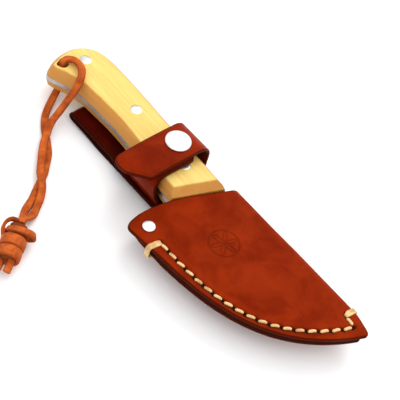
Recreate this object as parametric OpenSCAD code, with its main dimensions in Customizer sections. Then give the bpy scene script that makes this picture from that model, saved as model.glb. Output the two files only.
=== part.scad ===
// Small full-tang carving knife in a stitched leather pouch sheath.
// Knife frame: X along the knife towards the sheath tip, Y towards the blade's back,
// Z up through the flat of the blade, zero in the middle of the blade's thickness.
// seated() then lifts that frame to where the belt loop lies flat on the table.

/* [Knife] */
// Thickness of the blade and its full tang
blade_t = 3.2; // [2.6:0.1:3.4]
// Length of the blade past the sheath's mouth
blade_len = 101; // [85:1:102]
// Thickness of one wooden scale
scale_t = 7.4; // [6:0.1:7.6]
// How far the scale's face stands in from the tang's edge
scale_inset = 4.2; // [2:0.1:4.4]
// Length of the sloped front of the scales
scale_bevel = 4.5; // [2:0.1:5]
// Diameter of the handle rivets' heads
rivet_head_d = 7; // [5.5:0.1:7.5]
// Diameter of the handle rivets' sleeves
rivet_sleeve_d = 5; // [4:0.1:5]
// Diameter of the handle rivets' posts
rivet_post_d = 3.2; // [2.4:0.1:3.4]
// Diameter of the lanyard hole
lanyard_hole_d = 7; // [6.4:0.1:7.5]

/* [Sheath] */
// Thickness of all the leather
leather_t = 2.1; // [1.8:0.05:2.15]
// Room between the two panels, filled by the welt at the seam
welt_t = 3.8; // [3.7:0.1:4]
// Width of the welt at the seam
welt_w = 11; // [9:0.5:11.5]
// Distance from the mouth's middle to the tip
sheath_len = 117; // [116:1:120]
// Height of the folded edge above the knife's middle line
fold_y = 21.4; // [21:0.1:21.6]
// Number of stitches along the seam
stitch_count = 18; // [16:1:20]
// Diameter of the thread
thread_d = 1; // [0.8:0.1:1.2]

/* [Belt loop] */
// Width of the belt loop
loop_w = 34; // [33:0.5:35]
// Width of the loop's front layer where the keeper strap goes through it
loop_slit_w = 39.2; // [39:0.1:40]
// Distance from the mouth to the loop's fold
loop_reach = 94; // [90:1:97]
// Outer height of the loop's fold
loop_fold_h = 5.4; // [5:0.1:6]

/* [Keeper strap] */
// Width of the keeper strap
keeper_w = 23; // [20:0.5:23]
// Distance from the mouth to the middle of the strap
keeper_reach = 28.9; // [28:0.1:30]
// Diameter of the snap's cap
snap_cap_d = 15; // [12.5:0.5:15]
// Diameter of the corner rivet's caps
corner_rivet_d = 7.4; // [6:0.2:8]

/* [Lanyard] */
// Width of the flat lace
lace_w = 4.4; // [3.6:0.2:4.4]
// Thickness of the flat lace
lace_t = 2.4; // [1.6:0.1:2.4]
// Diameter of the wrapped knot
knot_d = 14; // [12:0.5:14]
// Length of the wrapped knot
knot_len = 14.5; // [12:0.5:15]

/* [Hidden] */

fine = 48;
steel = [0.62, 0.63, 0.64];
nickel = [0.86, 0.86, 0.84];
wood = [0.93, 0.78, 0.42];
leather = [0.55, 0.2, 0.06];
dark_leather = [0.38, 0.1, 0.04];
cream = [0.92, 0.8, 0.58];
lace = [0.76, 0.4, 0.18];

half_blade = blade_t / 2;
half_welt = welt_t / 2;
sheath_z = half_welt + leather_t;       // outer face of either panel
handle_z = half_blade + scale_t;        // outer face of either scale
butt_x = -124;
tip_x = sheath_len;
corner_y = -48.2;                       // lowest point of the mouth's corner
outer_arm_y = 20.6;                     // outermost leather on the blade's-back side

// Handle
handle_rivet_x = [-110, -64.7, -19];
handle_rivet_y = [3.6, 5, 2.5];
rivet_head_t = 1.5;
rivet_gap = 2;                          // how far the sleeve stops short of the post's head
lanyard_hole = [-114.6, -9.6];

// Blade
blade_back_y = 13.3;
blade_edge_y = -16.4;
ricasso_x = 9;
edge_t = 0.4;

// Sheath
fold_r = sheath_z;
fold_mid_y = fold_y - fold_r;
corner_rivet = [0.6, -38.3];
corner_rivet_post_d = 3;
corner_rivet_cap_t = 1.3;
stitch_rise = 0.8;

// Belt loop, in the knife frame: the front layer lies close under the handle
front_layer_z = -(handle_z + 0.4 + leather_t / 2);
loop_sewn_x = 36;                       // where both layers end on the back panel
loop_sewn_from = 19;
slit_w = 4.2;
slit_end = 0.5;                         // room at each end of a slit
slit_y = [-14.9, 15.3];
keeper_base_z = front_layer_z - leather_t - 0.05;       // the strap lies between the loop's layers
back_layer_z = keeper_base_z - leather_t - 0.15;

// Seat on the table, with the box's middle at the origin
seat_x = -(tip_x + butt_x) / 2;
seat_y = -(fold_y + corner_y) / 2;
seat_z = leather_t / 2 - back_layer_z;

// Keeper strap
keeper_x = -keeper_reach;
inner_arm_z = handle_z + 1 + leather_t / 2;
snap_gap = 3.1;                         // room for stud and socket between the two arms
flap_z = inner_arm_z + leather_t + snap_gap;
bend_r = 8.95;
bend_mid = [outer_arm_y - leather_t / 2 - bend_r, flap_z - bend_r];
hinge_angle = 20;
hinge_y = bend_mid[0] + bend_r * cos(hinge_angle);
hinge_z = bend_mid[1] + bend_r * sin(hinge_angle);
hinge_gap = 0.3;
open_angle = 120;
notch_spare = 2;                        // degrees left on each side of the notch when open
snap_at = [keeper_x - 0.3, 4.4];

// Lanyard route, on the table frame before the box's middle is set
front_route = [[-114.6, -10.3, 16.5], [-114.7, -10.1, 19.9], [-114.8, -9.4, 24.3],
    [-114.5, -7.6, 26.9], [-111.9, -5.2, 27.9], [-108.5, -4, 28], [-104.5, -4.5, 28],
    [-100.9, -6.5, 27.9], [-97.8, -9.8, 27.1], [-96, -13.8, 23], [-94.9, -18.6, 19.1],
    [-94.8, -22.2, 14.2], [-95, -25.4, 9.5], [-94.1, -29.7, 6.6], [-91.6, -34, 5.4],
    [-88.9, -37.4, 4.6], [-86.1, -41, 4.2], [-81.9, -45.3, 3.9], [-75.7, -50.8, 3.8],
    [-71.8, -54.1, 3.8], [-68.6, -56.6, 4], [-64.1, -59.1, 4.2], [-59.3, -62.2, 4.2],
    [-54.6, -66.8, 3.4], [-52, -70.6, 1.9], [-49.7, -73.8, 1.8], [-47.4, -77.2, 3], [-46.6, -81, 5],
    [-45.9, -85.1, 7.2], [-43.9, -88.3, 8.3]];
back_route = [[-114.5, -9, 15.3], [-114.5, -9.3, 11.3], [-114.4, -9.6, 7.6], [-113.3, -11.7, 4.6],
    [-110.8, -16.3, 2.9], [-107.2, -22, 2], [-103.3, -27.1, 1.4], [-98.8, -31.2, 1.4],
    [-94.1, -34.5, 1.4], [-88.9, -37.5, 1.4], [-83.6, -40.2, 1.4], [-77.6, -44.5, 1.4],
    [-73.2, -48.8, 1.4], [-69.5, -52.7, 1.4], [-66.4, -56.6, 1.4], [-64, -60.4, 1.4],
    [-61.5, -64.1, 1.4], [-58.2, -68.7, 1.4], [-55.4, -73.9, 1.4], [-52.8, -78.4, 1.4],
    [-49.9, -81.5, 2], [-46.7, -84.6, 3.8], [-43.7, -88.3, 5.6]];
knot_turn_from = [-43.4, -88.9];
knot_turn_len = 9;
knot_turn_d = 11;
knot_angle = -53;
tail_len = 7;

// ---- curves ----

function bezier(a, b, c, d, n) = [for (i = [0 : n]) let (t = i / n, s = 1 - t)
    s * s * s * a + 3 * s * s * t * b + 3 * s * t * t * c + t * t * t * d];

function without_last(p) = [for (i = [0 : len(p) - 2]) p[i]];

// Catmull-Rom point between p1 and p2
function spline_point(p0, p1, p2, p3, t) =
    0.5 * (2 * p1 + (p2 - p0) * t + (2 * p0 - 5 * p1 + 4 * p2 - p3) * t * t
    + (3 * p1 - p0 - 3 * p2 + p3) * t * t * t);

// Smooth curve through every point of an open path
function spline(p, n) = let (last = len(p) - 1) concat(
    [for (i = [0 : last - 1]) for (k = [0 : n - 1])
        spline_point(p[max(i - 1, 0)], p[i], p[i + 1], p[min(i + 2, last)], k / n)],
    [p[last]]);

function unit(v) = v / norm(v);
function run_dir(p, i) = unit(p[min(i + 1, len(p) - 1)] - p[max(i - 1, 0)]);
function left_of(v) = [-v[1], v[0]];

// Outline of a strip of the given thickness along a flat path
function strip(p, t) = concat(
    [for (i = [0 : len(p) - 1]) p[i] + left_of(run_dir(p, i)) * t / 2],
    [for (i = [len(p) - 1 : -1 : 0]) p[i] - left_of(run_dir(p, i)) * t / 2]);

// Length along a path up to point i, and the point at a length
function lengths(p) = [for (i = 0, s = 0; i < len(p);
    s = s + (i + 1 < len(p) ? norm(p[i + 1] - p[i]) : 0), i = i + 1) s];
function point_at(p, at, s) = let (k = max([for (i = [0 : len(p) - 2]) at[i] <= s ? i : 0]))
    p[k] + (p[k + 1] - p[k]) * (s - at[k]) / (at[k + 1] - at[k]);

// ---- outlines, in the knife frame ----

handle_front = [[-7.4, -16.4], [4.1, 14.8]];
handle_side = spline([handle_front[1], [-10, 15.6], [-28, 16.4], [-48, 17.3], [-68, 18.5], [-88, 19.3],
    [-103, 19.3], [-113, 17.2], [-120, 12], [-123.7, 4], [-123.5, -5], [-121, -13], [-117.6, -17.9],
    [-113.4, -17.9], [-106, -14.6], [-96, -11.4], [-84, -10.3], [-70, -9.7], [-58, -10], [-46, -11.3],
    [-32, -13.6], [-18, -15.7], handle_front[0]], 3);

blade_back = bezier([0, blade_back_y], [50, blade_back_y + 0.4], [76, blade_back_y + 0.4],
    [blade_len, 9.5], 32);
blade_edge = bezier([ricasso_x, blade_edge_y], [60, blade_edge_y - 0.2], [84, blade_edge_y],
    [blade_len, 9.5], 32);

sheath_mouth = bezier([7.5, fold_y], [1.2, 3], [-10, -14.5], [-9, -38], 14);
sheath_corner = bezier([-9, -38], [-8.2, -43], [-8, corner_y], [-3, corner_y], 8);
sheath_belly = bezier([20, -45.6], [60, -42.4], [97, -33.5], [tip_x, 14], 28);
sheath_tip = concat(bezier([tip_x, 14], [tip_x, 15.4], [116.6, 16.5], [115, 17], 5),
    without_last(bezier([111, 18.3], [107, 19.6], [104, 20.9], [99.5, fold_y], 6)), [[99.5, fold_y]]);
sheath_outline = concat(without_last(sheath_mouth), sheath_corner, sheath_belly, sheath_tip);

// The back panel and the welt are cut closer than the front at the mouth's corner and at the tip
back_mouth = [for (p = sheath_mouth) if (p[1] > -35) p];
back_corner = bezier([-9, -37], [-8.6, -43.4], [-4, -44.6], [4, -45], 8);
back_belly = bezier([20, -44.9], [58, -42], [95, -33], [115, 12.4], 28);
back_tip = concat(bezier([114.9, 13.4], [114.6, 15], [113.8, 16.2], [112, 17], 5),
    without_last(bezier([109, 18], [106, 19.2], [103, 20.9], [99.5, fold_y], 6)), [[99.5, fold_y]]);
back_outline = concat(back_mouth, back_corner, back_belly, back_tip);

cavity_inner = bezier([8, -45 + welt_w], [56, -44 + welt_w], [88, -27 + welt_w / 2], [104, 12], 24);
cavity_outline = concat([[-20, fold_y + 4], [-20, -45 + welt_w]], cavity_inner, [[102.5, fold_y + 4]]);

stitch_line = bezier([12, -39.6], [56, -40], [90, -34.5], [109.2, 12], 60);
stitch_at = lengths(stitch_line);
stitch_pitch = stitch_at[len(stitch_at) - 1] / stitch_count;
stitch_holes = concat(
    [for (i = [0 : stitch_count - 1]) point_at(stitch_line, stitch_at, i * stitch_pitch)],
    [stitch_line[len(stitch_line) - 1]]);
last_hole = [101.6, 14.2];
all_holes = concat(stitch_holes, [last_hole]);

// Stitch holes that fasten the belt loop to the back panel
loop_stitch_x = [loop_sewn_from + 3, loop_sewn_x - 3];
loop_stitch_y = [for (y = [-14 : 7 : 14]) y];

// ---- placing ----

module seated() translate([seat_x, seat_y, seat_z]) children();

module on_table() translate([seat_x, seat_y, 0]) children();

// A flat outline (x, y) made a slab from z0 to z1
module slab(outline, z0, z1) translate([0, 0, z0]) linear_extrude(z1 - z0) polygon(outline);

// An outline in (y, z) run along x from x0 to x1
module run_x(outline, x0, x1)
    translate([x0, 0, 0]) rotate([90, 0, 90]) linear_extrude(x1 - x0) polygon(outline);

// An outline in (x, z) run across y from y0 to y1
module run_y(outline, y0, y1)
    translate([0, y1, 0]) rotate([90, 0, 0]) linear_extrude(y1 - y0) polygon(outline);

module peg(at, z0, z1, d) translate([at[0], at[1], z0]) cylinder(h = z1 - z0, d = d, $fn = fine);

// Rings of points joined into one closed solid
module loft(rings) {
    n = len(rings[0]);
    last = len(rings) - 1;
    polyhedron(
        points = [for (r = rings) for (p = r) p],
        faces = concat(
            [[for (k = [0 : n - 1]) k]],
            [[for (k = [n - 1 : -1 : 0]) last * n + k]],
            [for (i = [0 : last - 1]) for (k = [0 : n - 1])
                [i * n + k, (i + 1) * n + k, (i + 1) * n + (k + 1) % n, i * n + (k + 1) % n]]),
        convexity = 8);
}

// ---- knife ----

// Stations along the blade: back, end of the grind and edge on both faces
function blade_ring(i) = let (b = blade_back[i], e = blade_edge[i],
    x = e[0], back = blade_back_y - (b[1] < blade_back_y ? blade_back_y - b[1] : 0),
    grind = e[1] + (back - e[1]) * 0.62)
    [[x, back, half_blade], [x, grind, half_blade], [x, e[1], edge_t / 2],
     [x, e[1], -edge_t / 2], [x, grind, -half_blade], [x, back, -half_blade]];

module blade() color(steel) seated() {
    ricasso = [[handle_front[0][0] - 1, blade_edge_y], [ricasso_x, blade_edge_y],
        [ricasso_x, blade_back_y], [-2, blade_back_y]];
    difference() {
        union() {
            slab(handle_side, -half_blade, half_blade);
            slab(ricasso, -half_blade, half_blade);
            loft([for (i = [0 : len(blade_edge) - 2]) blade_ring(i)]);
        }
        for (i = [0 : 2])
            peg([handle_rivet_x[i], handle_rivet_y[i]], -3, 3, rivet_sleeve_d);
        peg(lanyard_hole, -3, 3, lanyard_hole_d);
    }
}

// How far the scale stands in from its outline at height s, 0 at the tang and 1 at the face
function side_inset(s) = s < 0.6 ? 0.29 * s / 0.6
    : s < 0.88 ? 0.29 + 0.4 * (s - 0.6) / 0.28 : 0.69 + 0.31 * (s - 0.88) / 0.12;
function front_inset(s) = max(0, s * scale_t + half_blade - handle_z + scale_bevel);

scale_levels = [0, 0.3, 0.6, 0.75, 0.88, 0.95, 1];

function scale_ring(s) = let (p = handle_side, n = len(p)) [for (i = [0 : n - 1]) let (
    front = i == 0 || i == n - 1,
    inward = front ? [-0.94, i == 0 ? -0.66 : 1.34] : left_of(run_dir(p, i)),
    by = front ? front_inset(s) : side_inset(s) * scale_inset)
    [p[i][0] + inward[0] * by, p[i][1] + inward[1] * by, half_blade + s * scale_t]];

module scale_solid() difference() {
    loft([for (s = scale_levels) scale_ring(s)]);
    for (i = [0 : 2]) {
        peg([handle_rivet_x[i], handle_rivet_y[i]], 0, handle_z + 1, rivet_sleeve_d);
        peg([handle_rivet_x[i], handle_rivet_y[i]], handle_z - rivet_head_t, handle_z + 1, rivet_head_d);
    }
    peg(lanyard_hole, 0, handle_z + 1, lanyard_hole_d);
}

module scale_front() color(wood) seated() scale_solid();

module scale_back() color(wood) seated() mirror([0, 0, 1]) scale_solid();

module rivet_posts() color(nickel) seated() for (i = [0 : 2]) {
    at = [handle_rivet_x[i], handle_rivet_y[i]];
    peg(at, handle_z - rivet_head_t, handle_z, rivet_head_d);
    peg(at, -handle_z + rivet_head_t + 0.5, handle_z - rivet_head_t, rivet_post_d);
}

module rivet_sleeves() color(nickel) seated() for (i = [0 : 2]) {
    at = [handle_rivet_x[i], handle_rivet_y[i]];
    difference() {
        union() {
            peg(at, -handle_z, -handle_z + rivet_head_t, rivet_head_d);
            peg(at, -handle_z + rivet_head_t, handle_z - rivet_head_t - rivet_gap, rivet_sleeve_d);
        }
        peg(at, -handle_z + rivet_head_t, handle_z, rivet_post_d);
    }
}

// ---- sheath ----

module stitch_bores() for (p = all_holes) peg(p, -sheath_z - 1, sheath_z + 1, thread_d);

module sheath_body() color(leather) seated() difference() {
    intersection() {
        union() {
            slab(sheath_outline, half_welt, sheath_z);
            slab(back_outline, -sheath_z, half_welt);
        }
        union() {
            difference() {
                translate([-20, -60, -sheath_z]) cube([160, 60 + fold_mid_y, 2 * sheath_z]);
                translate([-21, -61, -half_welt]) cube([162, 62 + fold_mid_y, welt_t]);
            }
            translate([-20, fold_mid_y, 0]) rotate([0, 90, 0]) difference() {
                cylinder(h = 160, r = fold_r, $fn = fine);
                translate([0, 0, -1]) cylinder(h = 162, r = half_welt, $fn = fine);
                translate([-fold_r - 1, -fold_r - 1, -1]) cube([2 * fold_r + 2, fold_r + 1, 162]);
            }
        }
    }
    stitch_bores();
    peg(corner_rivet, -sheath_z - 1, sheath_z + 1, corner_rivet_post_d);
    for (x = loop_stitch_x) for (y = loop_stitch_y) peg([x, y], -sheath_z - 1, 0, thread_d);
}

module welt() color(dark_leather) seated() difference() {
    intersection() {
        slab(back_outline, -half_welt, half_welt);
        union() {
            translate([-20, -60, -half_welt]) cube([160, 60 + fold_mid_y, welt_t]);
            translate([100, fold_mid_y, 0]) rotate([0, 90, 0]) cylinder(h = 20, r = half_welt, $fn = fine);
        }
    }
    slab(cavity_outline, -half_welt - 1, half_welt + 1);
    stitch_bores();
    peg(corner_rivet, -sheath_z - 1, sheath_z + 1, corner_rivet_post_d);
}

// A flat bar between two holes, narrower than the pegs in them
module thread_bar(a, b, z0, z1) translate([a[0], a[1], z0])
    rotate([0, 0, atan2(b[1] - a[1], b[0] - a[0])])
        translate([0, -0.4 * thread_d, 0]) cube([norm(b - a), 0.8 * thread_d, z1 - z0]);

module seam_thread() color(cream) seated() {
    top = sheath_z + stitch_rise;
    edge_a = [11, -47.25];
    edge_b = [101.6, fold_y + stitch_rise];
    ends = [[stitch_holes[0], edge_a], [last_hole, edge_b]];
    for (p = all_holes) peg(p, -top, top, thread_d);
    for (side = [0, 1]) mirror([0, 0, side]) {
        for (i = [0 : len(all_holes) - 2])
            thread_bar(all_holes[i], all_holes[i + 1], sheath_z, top);
        for (e = ends) thread_bar(e[0], e[1], sheath_z, top);
    }
    for (e = ends) peg(e[1], -top, top, thread_d);
}

module corner_rivet_cap() color(nickel) seated() {
    peg(corner_rivet, sheath_z, sheath_z + corner_rivet_cap_t, corner_rivet_d);
    peg(corner_rivet, -half_welt, sheath_z, corner_rivet_post_d);
}

module corner_rivet_back() color(nickel) seated() {
    peg(corner_rivet, -sheath_z - corner_rivet_cap_t, -sheath_z, corner_rivet_d);
    peg(corner_rivet, -sheath_z, -half_welt, corner_rivet_post_d);
}

// ---- belt loop ----

loop_fold_r = (loop_fold_h - leather_t) / 2;
front_sewn_z = -sheath_z - leather_t / 2 - 0.03;
back_sewn_z = front_sewn_z - leather_t - 0.1;
loop_path = concat(
    [[loop_sewn_x, front_sewn_z]],
    bezier([14, front_sewn_z], [8, front_sewn_z], [8, front_layer_z], [-2.5, front_layer_z], 8),
    [for (a = [0 : 15 : 180]) [loop_fold_r - loop_reach - loop_fold_r * sin(a),
        front_layer_z - loop_fold_r * (1 - cos(a))]],
    bezier([-84, front_layer_z - 2 * loop_fold_r], [-76, front_layer_z - 2 * loop_fold_r],
        [-70, back_layer_z], [-62, back_layer_z], 6),
    bezier([-4, back_layer_z], [8, back_layer_z], [11, back_sewn_z - 0.2],
        [loop_sewn_from, back_sewn_z], 8),
    [[loop_sewn_x, back_sewn_z]]);

// The front layer is wider where the keeper strap's slits are
loop_wide_plan = concat(bezier([-58, -loop_w / 2], [-50, -loop_w / 2], [-52, -loop_slit_w / 2],
        [-44, -loop_slit_w / 2], 8),
    bezier([-14, -loop_slit_w / 2], [-6, -loop_slit_w / 2], [-6, -loop_w / 2], [4, -loop_w / 2], 8),
    bezier([4, loop_w / 2], [-6, loop_w / 2], [-6, loop_slit_w / 2], [-14, loop_slit_w / 2], 8),
    bezier([-44, loop_slit_w / 2], [-52, loop_slit_w / 2], [-50, loop_w / 2], [-58, loop_w / 2], 8));

module belt_loop() color(dark_leather) seated() difference() {
    intersection() {
        run_y(strip(loop_path, leather_t), -loop_slit_w, loop_slit_w);
        union() {
            translate([-loop_reach - 5, -loop_w / 2, -30]) cube([loop_reach + 50, loop_w, 30]);
            slab(loop_wide_plan, front_layer_z - leather_t / 2 - 0.1, 0);
        }
    }
    for (y = slit_y) translate([keeper_x0 - slit_end, y - slit_w / 2, front_layer_z - 1.6])
        cube([keeper_w + keeper_flare + 2 * slit_end, slit_w, 3.2]);
    for (x = loop_stitch_x) for (y = loop_stitch_y) peg([x, y], -12, -2, thread_d);
}

module loop_thread() color(cream) seated() {
    low = back_sewn_z - leather_t / 2 - stitch_rise;
    high = low + stitch_rise;
    for (x = loop_stitch_x) for (y = loop_stitch_y) peg([x, y], low, -half_welt, thread_d);
    for (x = loop_stitch_x) thread_bar([x, loop_stitch_y[0]], [x, loop_stitch_y[4]], low, high);
    for (y = [loop_stitch_y[0], loop_stitch_y[4]])
        thread_bar([loop_stitch_x[0], y], [loop_stitch_x[1], y], low, high);
}

// ---- keeper strap and snap ----

keeper_end_y = 13;

function arc(mid, r, a0, a1, n) = [for (i = [0 : n]) let (a = a0 + (a1 - a0) * i / n)
    mid + r * [cos(a), sin(a)]];

// The fixed part of the strap in (y, z): inner arm, belly side, behind the loop, back side
base_path = concat(
    [[keeper_end_y, inner_arm_z], [0, inner_arm_z]],
    arc([-11.8, inner_arm_z - 7.5], 7.5, 90, 180, 12),
    bezier([-19.3, 2], [-19.3, -4], [-15.7, -6], [-15.7, keeper_base_z + 3], 8),
    arc([-12.7, keeper_base_z + 3], 3, 200, 270, 5),
    arc([13.1, keeper_base_z + 3], 3, 270, 340, 5),
    bezier([16.1, keeper_base_z + 3], [16.1, -6], [19.55, -5], [19.55, 1], 8),
    arc(bend_mid, bend_r, 0, hinge_angle, 4));

flap_path = concat(
    arc(bend_mid, bend_r, hinge_angle, 90, 10),
    bezier([-3, flap_z], [-12, flap_z], [-22, flap_z - 0.3], [-33.6, flap_z - 1.9], 10));

keeper_x0 = keeper_x - keeper_w / 2;
keeper_x1 = keeper_x + keeper_w / 2;
keeper_flare = 2.4;

// Turned about the flap's hinge line
module at_hinge(angle) translate([keeper_x0, hinge_y, hinge_z]) rotate([angle, 0, 0]) children();

module keeper_strap() color(dark_leather) seated() difference() {
    run_x(strip(base_path, leather_t), keeper_x0, keeper_x1 + keeper_flare);
    // the flare runs out towards the top of the inner arm, and isn't on the back side
    run_y([[keeper_x1, 30], [keeper_x1, inner_arm_z - 1.4], [keeper_x1 + keeper_flare, -7],
        [keeper_x1 + keeper_flare + 1, -7], [keeper_x1 + keeper_flare + 1, 30]], -40, 5);
    translate([keeper_x1, -8, -30]) cube([keeper_flare + 1, 40, 60]);
    // round ending of the inner arm
    difference() {
        translate([keeper_x0 - 1, keeper_end_y - 5, inner_arm_z - 2]) cube([keeper_w + 2, 6, 4]);
        translate([keeper_x, keeper_end_y - keeper_w * 0.62, inner_arm_z - 3])
            cylinder(h = 6, r = keeper_w * 0.62, $fn = 96);
    }
    // clears the flap's round end, which turns in it
    translate([keeper_x0 - 1, hinge_y, hinge_z]) rotate([0, 90, 0])
        cylinder(h = keeper_w + 2, r = leather_t / 2 + hinge_gap, $fn = fine);
    at_hinge(hinge_angle - open_angle / 2 - notch_spare) translate([-1, -4, 0])
        cube([keeper_w + 2, 8, 4]);
    peg(snap_at, handle_z, inner_arm_z + 2, snap_tube_d);
}

flap_plan = concat([[keeper_x0, 30], [keeper_x0, -27]],
    bezier([keeper_x0, -28], [keeper_x0, -32], [-37, -33.6], [-33, -33.4], 6),
    bezier([-31, -33.2], [-29, -33], [-27.8, -32.2], [-26, -30.8], 5),
    [[keeper_x1, -24.2], [keeper_x1, 30]]);

module keeper_flap() color(leather) seated() difference() {
    union() {
        difference() {
            intersection() {
                run_x(strip(flap_path, leather_t), keeper_x0, keeper_x1);
                slab(flap_plan, -10, 40);
            }
            at_hinge(hinge_angle + open_angle / 2 + notch_spare) translate([-1, -4, -4])
                cube([keeper_w + 2, 8, 4]);
        }
        at_hinge(0) rotate([0, 90, 0]) cylinder(h = keeper_w, d = leather_t, $fn = fine);
    }
    peg(snap_at, flap_z - 3, flap_z + 3, snap_tube_d);
}

snap_tube_d = 3.4;
stud_d = 4.4;
socket_d = 12.4;
socket_bore_d = 5.6;
socket_floor = 0.5;
stud_base_t = 0.5;
stud_h = 1.9;
socket_top = flap_z - leather_t / 2;
socket_low = inner_arm_z + leather_t / 2 + stud_base_t + 0.15;
cap_low = flap_z + leather_t / 2;
cap_h = 2.1;

// Half outlines in (radius, height), turned about the snap's axis
module turned(outline) translate([snap_at[0], snap_at[1], 0]) rotate_extrude($fn = fine) polygon(outline);

module snap_cap() color(nickel) seated() turned(concat(
    [[0, socket_top], [snap_tube_d / 2, socket_top], [snap_tube_d / 2, cap_low], [snap_cap_d / 2, cap_low],
     [snap_cap_d / 2, cap_low + 0.5]],
    [for (a = [10 : 10 : 80]) [snap_cap_d / 2 * cos(a), cap_low + 0.5 + (cap_h - 0.5) * sin(a)]],
    [[0, cap_low + cap_h]]));

module snap_socket() color(nickel) seated() turned([
    [0, socket_top - socket_floor], [socket_bore_d / 2, socket_top - socket_floor],
    [socket_bore_d / 2, socket_low], [socket_d / 2 - 0.6, socket_low], [socket_d / 2, socket_low + 0.6],
    [socket_d / 2, socket_top], [0, socket_top]]);

module snap_stud() color(nickel) seated() turned([
    [0, inner_arm_z + leather_t / 2], [5.4, inner_arm_z + leather_t / 2],
    [5.4, inner_arm_z + leather_t / 2 + stud_base_t],
    [1.8, inner_arm_z + leather_t / 2 + stud_base_t],
    [1.8, inner_arm_z + leather_t / 2 + stud_base_t + 0.5],
    [stud_d / 2, inner_arm_z + leather_t / 2 + stud_base_t + 0.9],
    [stud_d / 2, inner_arm_z + leather_t / 2 + stud_base_t + 1.3],
    [1.5, inner_arm_z + leather_t / 2 + stud_base_t + stud_h],
    [0, inner_arm_z + leather_t / 2 + stud_base_t + stud_h]]);

module snap_post() color(nickel) seated() turned([
    [0, inner_arm_z - leather_t / 2 - 0.5], [4.2, inner_arm_z - leather_t / 2 - 0.5],
    [4.2, inner_arm_z - leather_t / 2], [snap_tube_d / 2, inner_arm_z - leather_t / 2],
    [snap_tube_d / 2, inner_arm_z + leather_t / 2], [0, inner_arm_z + leather_t / 2]]);

// ---- lanyard ----

// A ring of the flat lace at point i of a route, its width kept level
function lace_ring(p, i) = let (run = run_dir(p, i), side = unit(cross(run, [0, 0, 1])),
    up = cross(side, run)) [for (k = [0 : 7]) let (a = 22.5 + 45 * k)
    p[i] + side * (lace_w / 2) * cos(a) / cos(22.5) + up * (lace_t / 2) * sin(a) / cos(22.5)];

module lace(route) let (p = spline(route, 2)) loft([for (i = [0 : len(p) - 1]) lace_ring(p, i)]);

module lanyard_front_strand() color(lace) on_table() lace(front_route);

module lanyard_back_strand() color(lace) on_table() lace(back_route);

// Cylinders along the knot's axis, starting at a distance from the turn's start
module along_knot(from, length, d) on_table()
    translate([knot_turn_from[0], knot_turn_from[1], knot_d / 2]) rotate([0, 90, knot_angle])
        translate([0, 0, from]) cylinder(h = length, d = d, $fn = fine);

module lanyard_turn() color(lace) along_knot(0, knot_turn_len, knot_turn_d);

module lanyard_knot() color(lace) along_knot(knot_turn_len, knot_len, knot_d);

module lanyard_tails() color(lace) on_table()
    translate([knot_turn_from[0], knot_turn_from[1], knot_d / 2]) rotate([0, 0, knot_angle])
        for (y = [-3.2, 3.2]) translate([knot_turn_len + knot_len, y - lace_w / 2 + 0.2, -lace_t / 2])
            cube([tail_len, lace_w - 0.4, lace_t]);

blade();
scale_front();
scale_back();
rivet_posts();
rivet_sleeves();
sheath_body();
welt();
seam_thread();
corner_rivet_cap();
corner_rivet_back();
belt_loop();
loop_thread();
keeper_strap();
keeper_flap();
snap_cap();
snap_socket();
snap_stud();
snap_post();
lanyard_front_strand();
lanyard_back_strand();
lanyard_turn();
lanyard_knot();
lanyard_tails();
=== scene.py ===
import math

import bmesh
import bpy
import numpy as np
from mathutils import Matrix, Vector
from mathutils.geometry import delaunay_2d_cdt


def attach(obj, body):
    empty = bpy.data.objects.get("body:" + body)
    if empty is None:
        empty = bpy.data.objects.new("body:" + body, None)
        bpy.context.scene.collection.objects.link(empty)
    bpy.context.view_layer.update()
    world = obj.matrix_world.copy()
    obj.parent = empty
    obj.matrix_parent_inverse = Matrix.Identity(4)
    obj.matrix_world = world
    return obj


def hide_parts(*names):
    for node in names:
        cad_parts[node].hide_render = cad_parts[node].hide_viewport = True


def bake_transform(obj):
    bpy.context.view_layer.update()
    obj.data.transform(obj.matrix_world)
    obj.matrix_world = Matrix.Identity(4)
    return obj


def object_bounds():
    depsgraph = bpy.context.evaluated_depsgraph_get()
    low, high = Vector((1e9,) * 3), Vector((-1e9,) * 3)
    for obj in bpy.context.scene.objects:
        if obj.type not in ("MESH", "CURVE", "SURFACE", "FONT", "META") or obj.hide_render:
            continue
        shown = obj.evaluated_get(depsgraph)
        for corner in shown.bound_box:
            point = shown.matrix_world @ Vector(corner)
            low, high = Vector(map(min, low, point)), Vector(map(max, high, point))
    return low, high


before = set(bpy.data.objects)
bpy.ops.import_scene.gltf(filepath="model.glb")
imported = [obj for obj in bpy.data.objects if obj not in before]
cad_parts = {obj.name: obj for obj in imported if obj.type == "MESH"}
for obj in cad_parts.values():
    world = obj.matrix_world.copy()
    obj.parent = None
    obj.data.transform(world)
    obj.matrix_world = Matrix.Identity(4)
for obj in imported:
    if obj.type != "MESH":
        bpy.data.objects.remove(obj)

cadLow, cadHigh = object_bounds()
scene = bpy.context.scene
scene.view_settings.view_transform = "Standard"

# Lengths below are millimetres in the knife's own frame (x to the sheath's tip, y to the blade's back, z up),
# the same one that the design source uses. seatMatrix puts that frame in its place and turns it to metres;
# tableMatrix does the same for heights that are measured from the table.
seat = {"x": 3.5, "y": 13.4, "z": 15.9}
seatMatrix = Matrix.Translation(Vector((seat["x"], seat["y"], seat["z"])) * 0.001) @ Matrix.Scale(0.001, 4)
tableMatrix = Matrix.Translation(Vector((seat["x"], seat["y"], 0)) * 0.001) @ Matrix.Scale(0.001, 4)


def toRow(points, matrix=seatMatrix):
    m = np.array(matrix)
    return np.asarray(points, float) @ m[:3, :3].T + m[:3, 3]


# ---- camera ----
shot = {"azimuth": 34.5, "elevation": 50.4, "roll": 18.5, "distance": 0.65, "lens": 106.36}


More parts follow.
